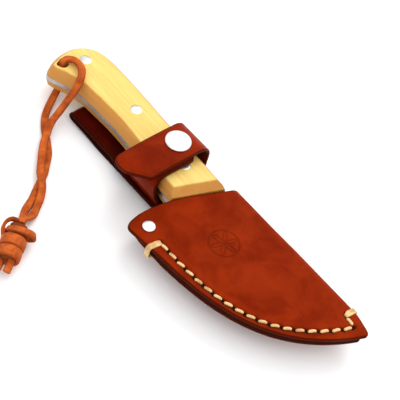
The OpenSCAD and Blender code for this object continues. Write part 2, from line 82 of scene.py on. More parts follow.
def makeCamera():
    a, e, r = (math.radians(shot[k]) for k in ("azimuth", "elevation", "roll"))
    back = Vector((math.sin(a) * math.cos(e), -math.cos(a) * math.cos(e), math.sin(e)))
    side = (-back).cross(Vector((0, 0, 1))).normalized()
    up = side.cross(-back)
    right = side * math.cos(r) + up * math.sin(r)
    top = up * math.cos(r) - side * math.sin(r)
    axes = Matrix((right, top, back)).transposed().to_4x4()
    place = seatMatrix.translation + back * shot["distance"]
    camera = bpy.data.objects.new("camera", bpy.data.cameras.new("camera"))
    scene.collection.objects.link(camera)
    camera.data.lens = shot["lens"]
    camera.data.sensor_width = 36
    camera.data.clip_start = 0.01
    camera.matrix_world = Matrix.Translation(place) @ axes
    scene.camera = camera


makeCamera()
print("camera set")


# ---- curves and rings ----
def bezier(a, b, c, d, n):
    t = np.linspace(0, 1, n + 1)[:, None]
    a, b, c, d = (np.array(p, float) for p in (a, b, c, d))
    return (1 - t) ** 3 * a + 3 * (1 - t) ** 2 * t * b + 3 * (1 - t) * t ** 2 * c + t ** 3 * d


def spline(points, n):  # smooth curve through every point, as in the CAD source
    p = np.array(points, float)
    last, out = len(p) - 1, []
    for i in range(last):
        p0, p1, p2, p3 = p[max(i - 1, 0)], p[i], p[i + 1], p[min(i + 2, last)]
        for t in np.arange(n) / n:
            out.append(0.5 * (2 * p1 + (p2 - p0) * t + (2 * p0 - 5 * p1 + 4 * p2 - p3) * t * t
                              + (3 * p1 - p0 - 3 * p2 + p3) * t ** 3))
    return np.array(out + [p[last]])


def chain(*paths):  # joins paths, without the points that repeat
    out = [paths[0]]
    for p in paths[1:]:
        p = np.asarray(p, float)
        out.append(p[1:] if np.linalg.norm(p[0] - out[-1][-1]) < 1e-6 else p)
    return np.vstack(out)


def lengthsAlong(path):
    return np.concatenate([[0], np.cumsum(np.linalg.norm(np.diff(path, axis=0), axis=1))])


def atLengths(path, where):
    along = lengthsAlong(path)
    return np.stack([np.interp(where, along, path[:, k]) for k in range(path.shape[1])], 1)


def resampled(path, step):
    total = lengthsAlong(path)[-1]
    return atLengths(path, np.linspace(0, total, max(2, int(round(total / step)) + 1)))


def directions(path):
    d = np.gradient(path, axis=0)
    return d / np.maximum(np.linalg.norm(d, axis=1), 1e-9)[:, None]


def circle(centre, radius, n, clockwise=False):
    a = np.linspace(0, 2 * math.pi, n, endpoint=False) * (-1 if clockwise else 1)
    return np.stack([centre[0] + radius * np.cos(a), centre[1] + radius * np.sin(a)], 1)


def area(loop):
    x, y = loop[:, 0], loop[:, 1]
    return 0.5 * (x * np.roll(y, -1) - np.roll(x, -1) * y).sum()


def isInside(points, loop):
    out = np.zeros(len(points), bool)
    a, b = loop, np.roll(loop, -1, 0)
    for part in range(0, len(points), 4000):
        x, y = points[part:part + 4000, 0:1], points[part:part + 4000, 1:2]
        spans = (a[:, 1] > y) != (b[:, 1] > y)
        with np.errstate(divide="ignore", invalid="ignore"):
            cut = a[:, 0] + (y - a[:, 1]) / (b[:, 1] - a[:, 1]) * (b[:, 0] - a[:, 0])
        out[part:part + 4000] = (spans & (x < cut)).sum(1) % 2 == 1
    return out


def distanceTo(points, a, b):  # from each point to the nearest of the segments a-b
    best = np.full(len(points), 1e9)
    d = b - a
    size = np.maximum((d * d).sum(1), 1e-12)
    for part in range(0, len(points), 4000):
        p = points[part:part + 4000, None, :]
        t = np.clip(((p - a) * d).sum(2) / size, 0, 1)
        best[part:part + 4000] = np.linalg.norm(p - a - t[:, :, None] * d, axis=2).min(1)
    return best


def pathDistance(points, path):
    return distanceTo(points, path[:-1], path[1:])


# ---- pieces ----
def makePiece(name, points, faces, material, matrix=seatMatrix, sharp=40, values=None, flat=None, recalc=True):
    mesh = bpy.data.meshes.new(name)
    mesh.from_pydata(toRow(points, matrix).tolist(), [], [list(map(int, f)) for f in faces])
    for key, value in (values or {}).items():
        mesh.attributes.new(key, "FLOAT", "POINT").data.foreach_set("value", np.asarray(value, np.float32))
    flatPoints = np.asarray(points if flat is None else flat, np.float32)
    mesh.attributes.new("flat", "FLOAT_VECTOR", "POINT").data.foreach_set("vector", flatPoints.ravel())
    if recalc:
        work = bmesh.new()
        work.from_mesh(mesh)
        bmesh.ops.recalc_face_normals(work, faces=work.faces)
        work.to_mesh(mesh)
        work.free()
    mesh.shade_smooth()
    mesh.set_sharp_from_angle(angle=math.radians(sharp))
    mesh.materials.append(material)
    piece = bpy.data.objects.new(name, mesh)
    scene.collection.objects.link(piece)
    return piece


def ringFaces(rings, around, closed=False, caps=True):
    faces, last = [], rings if closed else rings - 1
    for i in range(last):
        for k in range(around):
            a, b = i * around, ((i + 1) % rings) * around
            faces.append((a + k, b + k, b + (k + 1) % around, a + (k + 1) % around))
    if caps and not closed:
        faces += [tuple(range(around))[::-1], tuple(range((rings - 1) * around, rings * around))]
    return faces


def lathe(name, outline, centre, material, around=64, flip=1):  # outline is (radius, height), centre to rim to centre
    outline, inner = np.array(outline, float), len(outline) - 2
    a = np.linspace(0, 2 * math.pi, around, endpoint=False)
    rings = [np.stack([centre[0] + r * np.cos(a), centre[1] + r * np.sin(a), np.full(around, z * flip)], 1)
             for r, z in outline[1:-1]]
    points = np.vstack(rings + [[[centre[0], centre[1], outline[0][1] * flip]],
                                [[centre[0], centre[1], outline[-1][1] * flip]]])
    faces = ringFaces(inner, around, caps=False)
    faces += [(k, (k + 1) % around, inner * around) for k in range(around)]
    faces += [((inner - 1) * around + (k + 1) % around, (inner - 1) * around + k, inner * around + 1)
              for k in range(around)]
    radius = np.linalg.norm(points[:, :2] - np.array(centre[:2]), axis=1)
    return makePiece(name, points, faces, material, sharp=50, values={"edge": (radius / radius.max()) ** 6})


def triangles(loops, inner):  # the loops are kept, first the outline and then its holes
    points, edges, start = [], [], 0
    for loop in loops:
        points += loop.tolist()
        edges += [(start + k, start + (k + 1) % len(loop)) for k in range(len(loop))]
        start += len(loop)
    out = delaunay_2d_cdt([Vector(p) for p in points + inner.tolist()], edges, [], 0, 1e-7, True)
    places, faces = np.array([tuple(v) for v in out[0]]), np.array(out[2], int)
    middle = places[faces].mean(1)
    keep = isInside(middle, loops[0])
    for hole in loops[1:]:
        keep &= ~isInside(middle, hole)
    index = {}
    for new, olds in enumerate(out[3]):
        for old in olds:
            index[old] = new
    border, start = [], 0
    for loop in loops:
        border.append([index[start + k] for k in range(len(loop))])
        start += len(loop)
    return places, faces[keep], border


def lattice(loops, bands, gap):  # points in the outline; the first band that holds a place sets its spacing
    low, high = loops[0].min(0), loops[0].max(0)
    found, used = [], []
    for inBand, (du, dv) in bands:
        u = np.arange(low[0] + du / 2, high[0], du)
        v = np.arange(low[1] + dv / 2, high[1], dv)
        grid = np.stack(np.meshgrid(u, v, indexing="ij"), 2)
        grid[:, 1::2, 0] += du / 2
        p = grid.reshape(-1, 2)
        keep = inBand(p)
        for earlier in used:
            keep &= ~earlier(p)
        p = p[keep]
        p = p[isInside(p, loops[0])]
        for hole in loops[1:]:
            p = p[~isInside(p, hole)]
        far = np.full(len(p), 1e9)
        for loop in loops:
            far = np.minimum(far, distanceTo(p, loop, np.roll(loop, -1, 0)))
        found.append(p[far > gap + 0.45 * min(du, dv)])
        used.append(inBand)
    return np.vstack(found)


def everywhere(p):
    return np.ones(len(p), bool)


def roundDrop(d, r):  # how far a rounded edge lies under the surface, at a distance from the edge
    d = np.minimum(d, r)
    return r - np.sqrt(np.maximum(r * r - (r - d) ** 2, 0))


def makeSheet(name, loops, bands, place, thick, material, top=0.8, under=0.3, relief=None, cut=None,
              matrix=seatMatrix, coarse=None, sharp=45):
    # loops: outline and holes on the flat piece; place gives the outer face's points and normals.
    loops = [l if (area(l) > 0) == (n == 0) else l[::-1] for n, l in enumerate(loops)]
    segA = np.vstack(loops)
    segB = np.vstack([np.roll(l, -1, 0) for l in loops])
    rounded = np.ones(len(segA), bool) if cut is None else ~cut((segA + segB) / 2)

    def offEdge(p):
        return distanceTo(p, segA[rounded], segB[rounded])

    rows = []
    for loop in loops:
        d = directions(np.vstack([loop[-1], loop, loop[0]]))[1:-1]
        inward = np.stack([-d[:, 1], d[:, 0]], 1)
        for far in np.array([0.12, 0.36, 0.7, 1.1]) * top:
            p = loop + inward * far
            rows.append(p[(distanceTo(p, segA, segB) > 0.93 * far)])
    rows = np.vstack(rows)
    upPlaces, upFaces, upBorder = triangles(loops, np.vstack([rows, lattice(loops, bands, 1.15 * top)]))
    lowPlaces, lowFaces, lowBorder = triangles(
        loops, np.vstack([rows[distanceTo(rows, segA, segB) < 0.5 * top],
                          lattice(loops, coarse or bands, 1.0 * top)]))
    dUp, dLow = offEdge(upPlaces), offEdge(lowPlaces)
    height, marks = relief(upPlaces, dUp) if relief else (0 * dUp, {})
    p, n = place(upPlaces)
    upper = p + n * (height - roundDrop(dUp, top))[:, None]
    p, n = place(lowPlaces)
    lower = p - n * (thick - roundDrop(dLow, under))[:, None]
    count = len(upper)
    faces = [tuple(f) for f in upFaces] + [tuple(f[::-1] + count) for f in lowFaces]
    for a, b in zip(upBorder, lowBorder):
        for k in range(len(a)):
            m = (k + 1) % len(a)
            faces.append((a[m], a[k], b[k] + count, b[m] + count))
    edge = np.concatenate([np.clip(1 - dUp / 1.7, 0, 1) ** 1.5, np.clip(1 - dLow / 1.2, 0, 1)])
    values = {"edge": edge, "flesh": np.concatenate([0 * dUp, np.ones(len(dLow))])}
    for key in ("dark", "paintedSheen"):
        values[key] = np.concatenate([marks.get(key, 0 * dUp), 0 * dLow])
    flat = np.vstack([np.column_stack([upPlaces, 0 * dUp]), np.column_stack([lowPlaces, 0 * dLow + thick])])
    return makePiece(name, np.vstack([upper, lower]), faces, material, matrix, sharp, values, flat)


def geometryPiece(name, tree, inputs, points, vectors=None, sharp=50):
    # Runs a Geometry Nodes tree on loose points and returns the plain mesh piece it makes.
    mesh = bpy.data.meshes.new(name + "Points")
    mesh.from_pydata(np.asarray(points).tolist(), [], [])
    for key, value in (vectors or {}).items():
        mesh.attributes.new(key, "FLOAT_VECTOR", "POINT").data.foreach_set(
            "vector", np.asarray(value, np.float32).ravel())
    source = bpy.data.objects.new(name + "Points", mesh)
    scene.collection.objects.link(source)
    modifier = source.modifiers.new("make", "NODES")
    modifier.node_group = tree
    for socket in tree.interface.items_tree:
        if socket.item_type == "SOCKET" and socket.in_out == "INPUT" and socket.name in inputs:
            modifier[socket.identifier] = inputs[socket.name]
    bpy.context.view_layer.update()
    graph = bpy.context.evaluated_depsgraph_get()
    made = bpy.data.meshes.new_from_object(source.evaluated_get(graph))
    made.name = name
    source.modifiers.clear()
    bpy.data.objects.remove(source)
    made.shade_smooth()
    made.set_sharp_from_angle(angle=math.radians(sharp))
    piece = bpy.data.objects.new(name, made)
    scene.collection.objects.link(piece)
    return piece


# ---- shader groups ----
def shaderGroup(name, inputs, outputs):
    group = bpy.data.node_groups.new(name, "ShaderNodeTree")
    for label, kind, value in inputs:
        socket = group.interface.new_socket(label, in_out="INPUT", socket_type=kind)
        if value is not None:
            socket.default_value = value
    for label, kind in outputs:
        group.interface.new_socket(label, in_out="OUTPUT", socket_type=kind)
    return group, group.nodes.new("NodeGroupInput"), group.nodes.new("NodeGroupOutput")


def addNode(tree, kind, settings=None, sockets=None, links=None):
    node = tree.nodes.new(kind)
    for key, value in (settings or {}).items():
        setattr(node, key, value)
    for key, value in (sockets or {}).items():
        node.inputs[key].default_value = value
    for key, source in (links or {}).items():
        tree.links.new(source, node.inputs[key])
    return node


def doMath(tree, operation, a, b=None, c=None, clamp=False):
    node = addNode(tree, "ShaderNodeMath", {"operation": operation, "use_clamp": clamp})
    for k, value in enumerate((a, b, c)):
        if value is None:
            continue
        if isinstance(value, (int, float)):
            node.inputs[k].default_value = value
        else:
            tree.links.new(value, node.inputs[k])
    return node.outputs[0]


def mapRange(tree, value, low, high, outLow=0.0, outHigh=1.0):
    node = addNode(tree, "ShaderNodeMapRange", {"interpolation_type": "SMOOTHSTEP"},
                   {"From Min": low, "From Max": high, "To Min": outLow, "To Max": outHigh}, {"Value": value})
    return node.outputs[0]


def mixColour(tree, share, a, b, mode="MIX"):
    node = addNode(tree, "ShaderNodeMix", {"data_type": "RGBA", "blend_type": mode})
    for key, value in (("Factor", share), ("A", a), ("B", b)):
        socket = next(s for s in node.inputs if s.name == key and s.enabled)
        if isinstance(value, (int, float, tuple)):
            socket.default_value = value
        else:
            tree.links.new(value, socket)
    return next(s for s in node.outputs if s.enabled)


def hideGrainGroup():  # leather: pores, fine creases and a slow mottle, on millimetre coordinates
    group, gin, gout = shaderGroup("hideGrain", [
        ("Vector", "NodeSocketVector", None), ("Pore Scale", "NodeSocketFloat", 1.5),
        ("Crease Scale", "NodeSocketFloat", 0.35), ("Mottle Scale", "NodeSocketFloat", 0.05)],
        [("Height", "NodeSocketFloat"), ("Mottle", "NodeSocketFloat"), ("Pores", "NodeSocketFloat")])
    warp = addNode(group, "ShaderNodeTexNoise", sockets={"Scale": 0.6, "Detail": 2.0},
                   links={"Vector": gin.outputs[0]})
    bent = addNode(group, "ShaderNodeVectorMath", {"operation": "MULTIPLY_ADD"}, {1: (0.7, 0.7, 0.7)},
                   {0: warp.outputs["Color"], 2: gin.outputs[0]})
    cells = addNode(group, "ShaderNodeTexVoronoi", {"feature": "DISTANCE_TO_EDGE"},
                    links={"Vector": bent.outputs[0], "Scale": gin.outputs[1]})
    pores = mapRange(group, cells.outputs["Distance"], 0.0, 0.22)
    crease = addNode(group, "ShaderNodeTexNoise", sockets={"Detail": 6.0, "Roughness": 0.6, "Distortion": 0.8},
                     links={"Vector": gin.outputs[0], "Scale": gin.outputs[2]})
    mottle = addNode(group, "ShaderNodeTexNoise", sockets={"Detail": 4.0, "Roughness": 0.62, "Distortion": 0.4},
                     links={"Vector": gin.outputs[0], "Scale": gin.outputs[3]})
    height = doMath(group, "MULTIPLY_ADD", crease.outputs[0], 1.6, pores)
    group.links.new(height, gout.inputs[0])
    group.links.new(mapRange(group, mottle.outputs[0], 0.3, 0.7), gout.inputs[1])
    group.links.new(pores, gout.inputs[2])
    return group


# painted shade on the wood's chamfers and sides; on leather and laces it darkens the cut edges
def edgeShadeAndWearGroup():  # ragged mask from the piece's own edge value
    group, gin, gout = shaderGroup("edgeShadeAndWear", [
        ("Vector", "NodeSocketVector", None), ("Edge", "NodeSocketFloat", 0.0),
        ("Scale", "NodeSocketFloat", 0.8), ("Raggedness", "NodeSocketFloat", 0.35)],
        [("Mask", "NodeSocketFloat")])
    ragged = addNode(group, "ShaderNodeTexNoise", sockets={"Detail": 5.0},
                     links={"Vector": gin.outputs[0], "Scale": gin.outputs[2]})
    shift = doMath(group, "MULTIPLY", doMath(group, "SUBTRACT", ragged.outputs[0], 0.5), gin.outputs[3])
    total = doMath(group, "ADD", gin.outputs[1], shift)
    group.links.new(mapRange(group, total, 0.12, 0.75), gout.inputs[0])
    return group


def woodFigureGroup():  # close straight grain along x, with short pores and slow growth bands
    group, gin, gout = shaderGroup("woodFigure", [
        ("Vector", "NodeSocketVector", None), ("Stretch", "NodeSocketFloat", 0.06)],
        [("Figure", "NodeSocketFloat"), ("Flecks", "NodeSocketFloat"), ("Height", "NodeSocketFloat")])
    scale = addNode(group, "ShaderNodeCombineXYZ", sockets={1: 1.0, 2: 1.0}, links={0: gin.outputs[1]})
    longWay = addNode(group, "ShaderNodeVectorMath", {"operation": "MULTIPLY"},
                      links={0: gin.outputs[0], 1: scale.outputs[0]})
    bands = addNode(group, "ShaderNodeTexNoise", sockets={"Scale": 0.22, "Detail": 5.0, "Roughness": 0.6,
                                                           "Distortion": 0.9}, links={"Vector": longWay.outputs[0]})
    lines = addNode(group, "ShaderNodeTexNoise", sockets={"Scale": 1.9, "Detail": 4.0, "Roughness": 0.7},
                    links={"Vector": longWay.outputs[0]})
    flecks = addNode(group, "ShaderNodeTexNoise", sockets={"Scale": 3.4, "Detail": 2.0},
                     links={"Vector": longWay.outputs[0]})
    figure = doMath(group, "MULTIPLY_ADD", lines.outputs[0], 0.35,
                    doMath(group, "MULTIPLY", bands.outputs[0], 0.75))
    group.links.new(mapRange(group, figure, 0.35, 0.75), gout.inputs[0])
    group.links.new(mapRange(group, flecks.outputs[0], 0.6, 0.74), gout.inputs[1])
    group.links.new(lines.outputs[0], gout.inputs[2])
    return group


def metalMarksGroup():  # fine lines from finishing, and small dings
    group, gin, gout = shaderGroup("metalMarks", [
        ("Vector", "NodeSocketVector", None), ("Along", "NodeSocketFloat", 0.05),
        ("Across", "NodeSocketFloat", 5.0)],
        [("Lines", "NodeSocketFloat"), ("Smudge", "NodeSocketFloat")])
    scale = addNode(group, "ShaderNodeCombineXYZ", links={0: gin.outputs[1], 1: gin.outputs[2], 2: gin.outputs[2]})
    stretched = addNode(group, "ShaderNodeVectorMath", {"operation": "MULTIPLY"},
                        links={0: gin.outputs[0], 1: scale.outputs[0]})
    lines = addNode(group, "ShaderNodeTexNoise", sockets={"Scale": 1.0, "Detail": 5.0, "Roughness": 0.7},
                    links={"Vector": stretched.outputs[0]})
    smudge = addNode(group, "ShaderNodeTexNoise", sockets={"Scale": 0.16, "Detail": 3.0},
                     links={"Vector": gin.outputs[0]})
    group.links.new(lines.outputs[0], gout.inputs[0])
    group.links.new(mapRange(group, smudge.outputs[0], 0.35, 0.7), gout.inputs[1])
    return group


hideGrain, edgeShadeAndWear, woodFigure, metalMarks = hideGrainGroup(), edgeShadeAndWearGroup(), woodFigureGroup(), metalMarksGroup()


# ---- materials ----
def newMaterial(name):
    material = bpy.data.materials.new(name)
    material.use_nodes = True
    tree = material.node_tree
    shader = tree.nodes["Principled BSDF"]
    return material, tree, shader


def attribute(tree, name, output="Fac"):
    return addNode(tree, "ShaderNodeAttribute", {"attribute_name": name}).outputs[output]


def placeGroup(tree, group, links, sockets=None):
    return addNode(tree, "ShaderNodeGroup", {"node_tree": group}, sockets, links)


def addBump(tree, shader, height, strength, distance):
    bump = addNode(tree, "ShaderNodeBump", sockets={"Strength": strength, "Distance": distance},
                   links={"Height": height})
    tree.links.new(bump.outputs[0], shader.inputs["Normal"])


leatherFinish = {
    "pouch": {"light": (0.270, 0.0195, 0.0006, 1), "deep": (0.170, 0.0095, 0.0003, 1),
              "rim": (0.038, 0.0030, 0.0008, 1), "flesh": (0.200, 0.050, 0.014, 1), "rough": (0.42, 0.56)},
    "strap": {"light": (0.250, 0.0165, 0.0009, 1), "deep": (0.150, 0.0080, 0.0005, 1),
              "rim": (0.045, 0.0036, 0.0010, 1), "flesh": (0.090, 0.014, 0.004, 1), "rough": (0.36, 0.50)},
    # loop: very dark, as painted shade for the shadow over the belt loop under the handle; the welt strip takes the
    # same leather
    "loop": {"light": (0.075, 0.0032, 0.0010, 1), "deep": (0.030, 0.0012, 0.0006, 1),
              "rim": (0.018, 0.0015, 0.0006, 1), "flesh": (0.050, 0.007, 0.002, 1), "rough": (0.42, 0.56)},
}


def leatherMaterial(name, finish):
    material, tree, shader = newMaterial(name)
    flat = attribute(tree, "flat", "Vector")
    grain = placeGroup(tree, hideGrain, {"Vector": flat})
    shadeAndWear = placeGroup(tree, edgeShadeAndWear, {"Vector": flat, "Edge": attribute(tree, "edge")}, {"Scale": 0.5})
    colour = mixColour(tree, grain.outputs["Mottle"], finish["deep"], finish["light"])
    # painted highlight: the colour is lightened along the pouch's fold, over the strap's bend and on the ridge beside
    # the seam
    pale = mixColour(tree, doMath(tree, "MULTIPLY", attribute(tree, "paintedSheen"), 0.5), colour,
                     tuple(c * 1.5 for c in finish["light"][:3]) + (1,))
    pored = mixColour(tree, doMath(tree, "SUBTRACT", 0.16, doMath(tree, "MULTIPLY", grain.outputs["Pores"], 0.16)),
                      pale, finish["rim"])
    fleshy = mixColour(tree, doMath(tree, "MULTIPLY", attribute(tree, "flesh"), 0.85), pored, finish["flesh"])
    rimmed = mixColour(tree, doMath(tree, "MULTIPLY", shadeAndWear.outputs[0], 0.85), fleshy, finish["rim"])
    # painted shade: near black in the awl slots, grooves, creases and stamp lines
    final = mixColour(tree, attribute(tree, "dark"), rimmed, (0.012, 0.003, 0.001, 1))
    tree.links.new(final, shader.inputs["Base Color"])
    rough = mapRange(tree, grain.outputs["Mottle"], 0.0, 1.0, finish["rough"][1], finish["rough"][0])
    tree.links.new(doMath(tree, "MULTIPLY_ADD", attribute(tree, "flesh"), 0.35, rough, clamp=True),
                   shader.inputs["Roughness"])
    shader.inputs["Specular IOR Level"].default_value = 0.07
    shader.inputs["Specular Tint"].default_value = (1.0, 0.24, 0.05, 1)  # dyed and waxed hide shines warm, not white
    addBump(tree, shader, grain.outputs["Height"], 0.35, 0.00012)
    return material


pouchLeather = leatherMaterial("pouchLeather", leatherFinish["pouch"])
strapLeather = leatherMaterial("strapLeather", leatherFinish["strap"])
shadowLoopLeather = leatherMaterial("shadowLoopLeather", leatherFinish["loop"])

laceFinish = {"light": (0.60, 0.118, 0.014, 1), "deep": (0.27, 0.034, 0.003, 1), "nap": (0.68, 0.205, 0.045, 1)}


def laceMaterial():
    material, tree, shader = newMaterial("laceLeather")
    flat = attribute(tree, "flat", "Vector")
    grain = placeGroup(tree, hideGrain, {"Vector": flat}, {"Pore Scale": 2.2, "Crease Scale": 0.8,
                                                           "Mottle Scale": 0.16})
    fibre = addNode(tree, "ShaderNodeTexNoise", sockets={"Scale": 2.6, "Detail": 5.0, "Roughness": 0.75},
                    links={"Vector": flat})
    body = mixColour(tree, grain.outputs["Mottle"], laceFinish["deep"], laceFinish["light"])
    nap = mixColour(tree, doMath(tree, "MULTIPLY", mapRange(tree, fibre.outputs[0], 0.45, 0.75), 0.6), body,
                    laceFinish["nap"])
    shadeAndWear = placeGroup(tree, edgeShadeAndWear, {"Vector": flat, "Edge": attribute(tree, "edge")}, {"Scale": 1.5})
    rimmed = mixColour(tree, doMath(tree, "MULTIPLY", shadeAndWear.outputs[0], 0.55), nap, laceFinish["deep"])
    # painted shade: near black on the knot's core
    final = mixColour(tree, attribute(tree, "dark"), rimmed, (0.03, 0.008, 0.002, 1))
    tree.links.new(final, shader.inputs["Base Color"])
    shader.inputs["Roughness"].default_value = 0.72
    shader.inputs["Sheen Weight"].default_value = 0.06
    shader.inputs["Sheen Roughness"].default_value = 0.5
    shader.inputs["Sheen Tint"].default_value = (1.0, 0.55, 0.25, 1)
    shader.inputs["Specular IOR Level"].default_value = 0.12
    both = doMath(tree, "ADD", fibre.outputs[0], grain.outputs["Height"])
    addBump(tree, shader, both, 0.5, 0.00018)
    return material


laceLeather = laceMaterial()

threadFinish = {"light": (0.80, 0.55, 0.24, 1), "deep": (0.42, 0.21, 0.06, 1)}


def threadMaterial():
    material, tree, shader = newMaterial("waxedThread")
    place = addNode(tree, "ShaderNodeTexCoord").outputs["Object"]
    fibre = addNode(tree, "ShaderNodeTexNoise", sockets={"Scale": 1600.0, "Detail": 3.0}, links={"Vector": place})
    soil = addNode(tree, "ShaderNodeTexNoise", sockets={"Scale": 160.0, "Detail": 3.0}, links={"Vector": place})
    share = doMath(tree, "MULTIPLY_ADD", fibre.outputs[0], 0.35, mapRange(tree, soil.outputs[0], 0.42, 0.66))
    tree.links.new(mixColour(tree, doMath(tree, "MULTIPLY", share, 0.62), threadFinish["light"],
                             threadFinish["deep"]), shader.inputs["Base Color"])
    shader.inputs["Roughness"].default_value = 0.55
    addBump(tree, shader, fibre.outputs[0], 0.4, 0.00015)
    return material


waxedThread = threadMaterial()

# shade: painted shade, the burnt orange-brown laid on the scales' chamfers and sides that turn from the light
woodFinish = {"light": (0.84, 0.62, 0.190, 1), "dark": (0.66, 0.37, 0.075, 1), "fleck": (0.40, 0.17, 0.030, 1),
              "shade": (0.44, 0.135, 0.018, 1)}


def woodMaterial():
    material, tree, shader = newMaterial("boxwood")
    flat = attribute(tree, "flat", "Vector")
    figure = placeGroup(tree, woodFigure, {"Vector": flat})
    shadeAndWear = placeGroup(tree, edgeShadeAndWear, {"Vector": flat, "Edge": attribute(tree, "edge")}, {"Scale": 0.25})
    body = mixColour(tree, doMath(tree, "MULTIPLY", figure.outputs["Figure"], 0.6), woodFinish["light"],
                     woodFinish["dark"])
    flecked = mixColour(tree, doMath(tree, "MULTIPLY", figure.outputs["Flecks"], 0.25), body, woodFinish["fleck"])
    # painted shade: the chamfers and sides take the shade colour through the edge value
    chamferShaded = mixColour(tree, doMath(tree, "MULTIPLY", shadeAndWear.outputs[0], 0.78), flecked, woodFinish["shade"])
    tree.links.new(chamferShaded, shader.inputs["Base Color"])
    shader.inputs["Roughness"].default_value = 0.42
    shader.inputs["Specular IOR Level"].default_value = 0.25
    shader.inputs["Specular Tint"].default_value = (1.0, 0.85, 0.55, 1)
    addBump(tree, shader, figure.outputs["Height"], 0.22, 0.00012)
    return material


boxwood = woodMaterial()

metalFinish = {"steel": {"light": (0.44, 0.44, 0.44, 1), "dark": (0.37, 0.37, 0.37, 1), "rough": (0.28, 0.44)},
               "nickel": {"light": (0.93, 0.93, 0.92, 1), "dark": (0.74, 0.74, 0.75, 1), "rough": (0.30, 0.44)},
               # pins: duller and darker than the nickel, a painted shade for the pin in the strap's shadow
               "pins": {"light": (0.66, 0.66, 0.60, 1), "dark": (0.50, 0.50, 0.45, 1), "rough": (0.32, 0.50)}}


def metalMaterial(name, finish, along, across):
    material, tree, shader = newMaterial(name)
    coordinates = addNode(tree, "ShaderNodeTexCoord").outputs["Object"]
    scaled = addNode(tree, "ShaderNodeMapping", sockets={"Scale": (1000, 1000, 1000)},
                     links={"Vector": coordinates}).outputs[0]
    marks = placeGroup(tree, metalMarks, {"Vector": scaled}, {"Along": along, "Across": across})
    colour = mixColour(tree, marks.outputs["Smudge"], finish["light"], finish["dark"])
    tree.links.new(colour, shader.inputs["Base Color"])
    shader.inputs["Metallic"].default_value = 1.0
    tree.links.new(mapRange(tree, marks.outputs["Lines"], 0.3, 0.7, finish["rough"][0], finish["rough"][1]),
                   shader.inputs["Roughness"])
    addBump(tree, shader, marks.outputs["Lines"], 0.12, 0.00005)
    return material


bladeSteel = metalMaterial("bladeSteel", metalFinish["steel"], 0.08, 4.0)
nickel = metalMaterial("nickel", metalFinish["nickel"], 1.2, 1.6)
pinMetal = metalMaterial("pinMetal", metalFinish["pins"], 1.2, 1.6)
print("materials ready")


# ---- lanyard, before the rest: it goes through the hole in the handle's end and lies on the table ----
lanyard = {"width": 4.4, "thick": 2.4, "turnFrom": (-43.4, -88.9, 7.0), "angle": -53.0, "turnLength": 9.0,
           "barrelLength": 14.5, "tail": 7.0}

frontRoute = [[-114.6, -10.3, 16.5], [-114.7, -10.1, 19.9], [-114.8, -9.4, 24.3], [-114.5, -7.6, 26.9],
              [-111.9, -5.2, 27.9], [-108.5, -4, 28], [-104.5, -4.5, 28], [-100.9, -6.5, 27.9],
              [-97.8, -9.8, 27.1], [-96, -13.8, 23], [-94.9, -18.6, 19.1], [-94.8, -22.2, 14.2],
              [-95, -25.4, 9.5], [-94.1, -29.7, 6.6], [-91.6, -34, 5.4], [-88.9, -37.4, 4.6],
              [-86.1, -41, 4.2], [-81.9, -45.3, 3.9], [-75.7, -50.8, 3.8], [-71.8, -54.1, 3.8],
              [-68.6, -56.6, 4], [-64.1, -59.1, 4.2], [-59.3, -62.2, 4.2], [-54.6, -66.8, 3.4],
              [-52, -70.6, 1.9], [-49.7, -73.8, 1.8], [-47.4, -77.2, 3], [-46.6, -81, 5],
              [-45.9, -85.1, 7.2], [-43.9, -88.3, 8.3]]
backRoute = [[-114.5, -9, 15.3], [-114.5, -9.3, 11.3], [-114.4, -9.6, 7.6], [-113.3, -11.7, 4.6],
             [-110.8, -16.3, 2.9], [-107.2, -22, 2], [-103.3, -27.1, 1.4], [-98.8, -31.2, 1.4],
             [-94.1, -34.5, 1.4], [-88.9, -37.5, 1.4], [-83.6, -40.2, 1.4], [-77.6, -44.5, 1.4],
             [-73.2, -48.8, 1.4], [-69.5, -52.7, 1.4], [-66.4, -56.6, 1.4], [-64, -60.4, 1.4],
             [-61.5, -64.1, 1.4], [-58.2, -68.7, 1.4], [-55.4, -73.9, 1.4], [-52.8, -78.4, 1.4],
             [-49.9, -81.5, 2], [-46.7, -84.6, 3.8], [-43.7, -88.3, 5.6]]


def ribbonSection(width, thick, n=16):
    a = np.linspace(0, 2 * math.pi, n, endpoint=False) + math.pi / n
    return np.stack([width / 2 * np.sign(np.cos(a)) * np.abs(np.cos(a)) ** 0.55,
                     thick / 2 * np.sign(np.sin(a)) * np.abs(np.sin(a)) ** 0.62], 1)


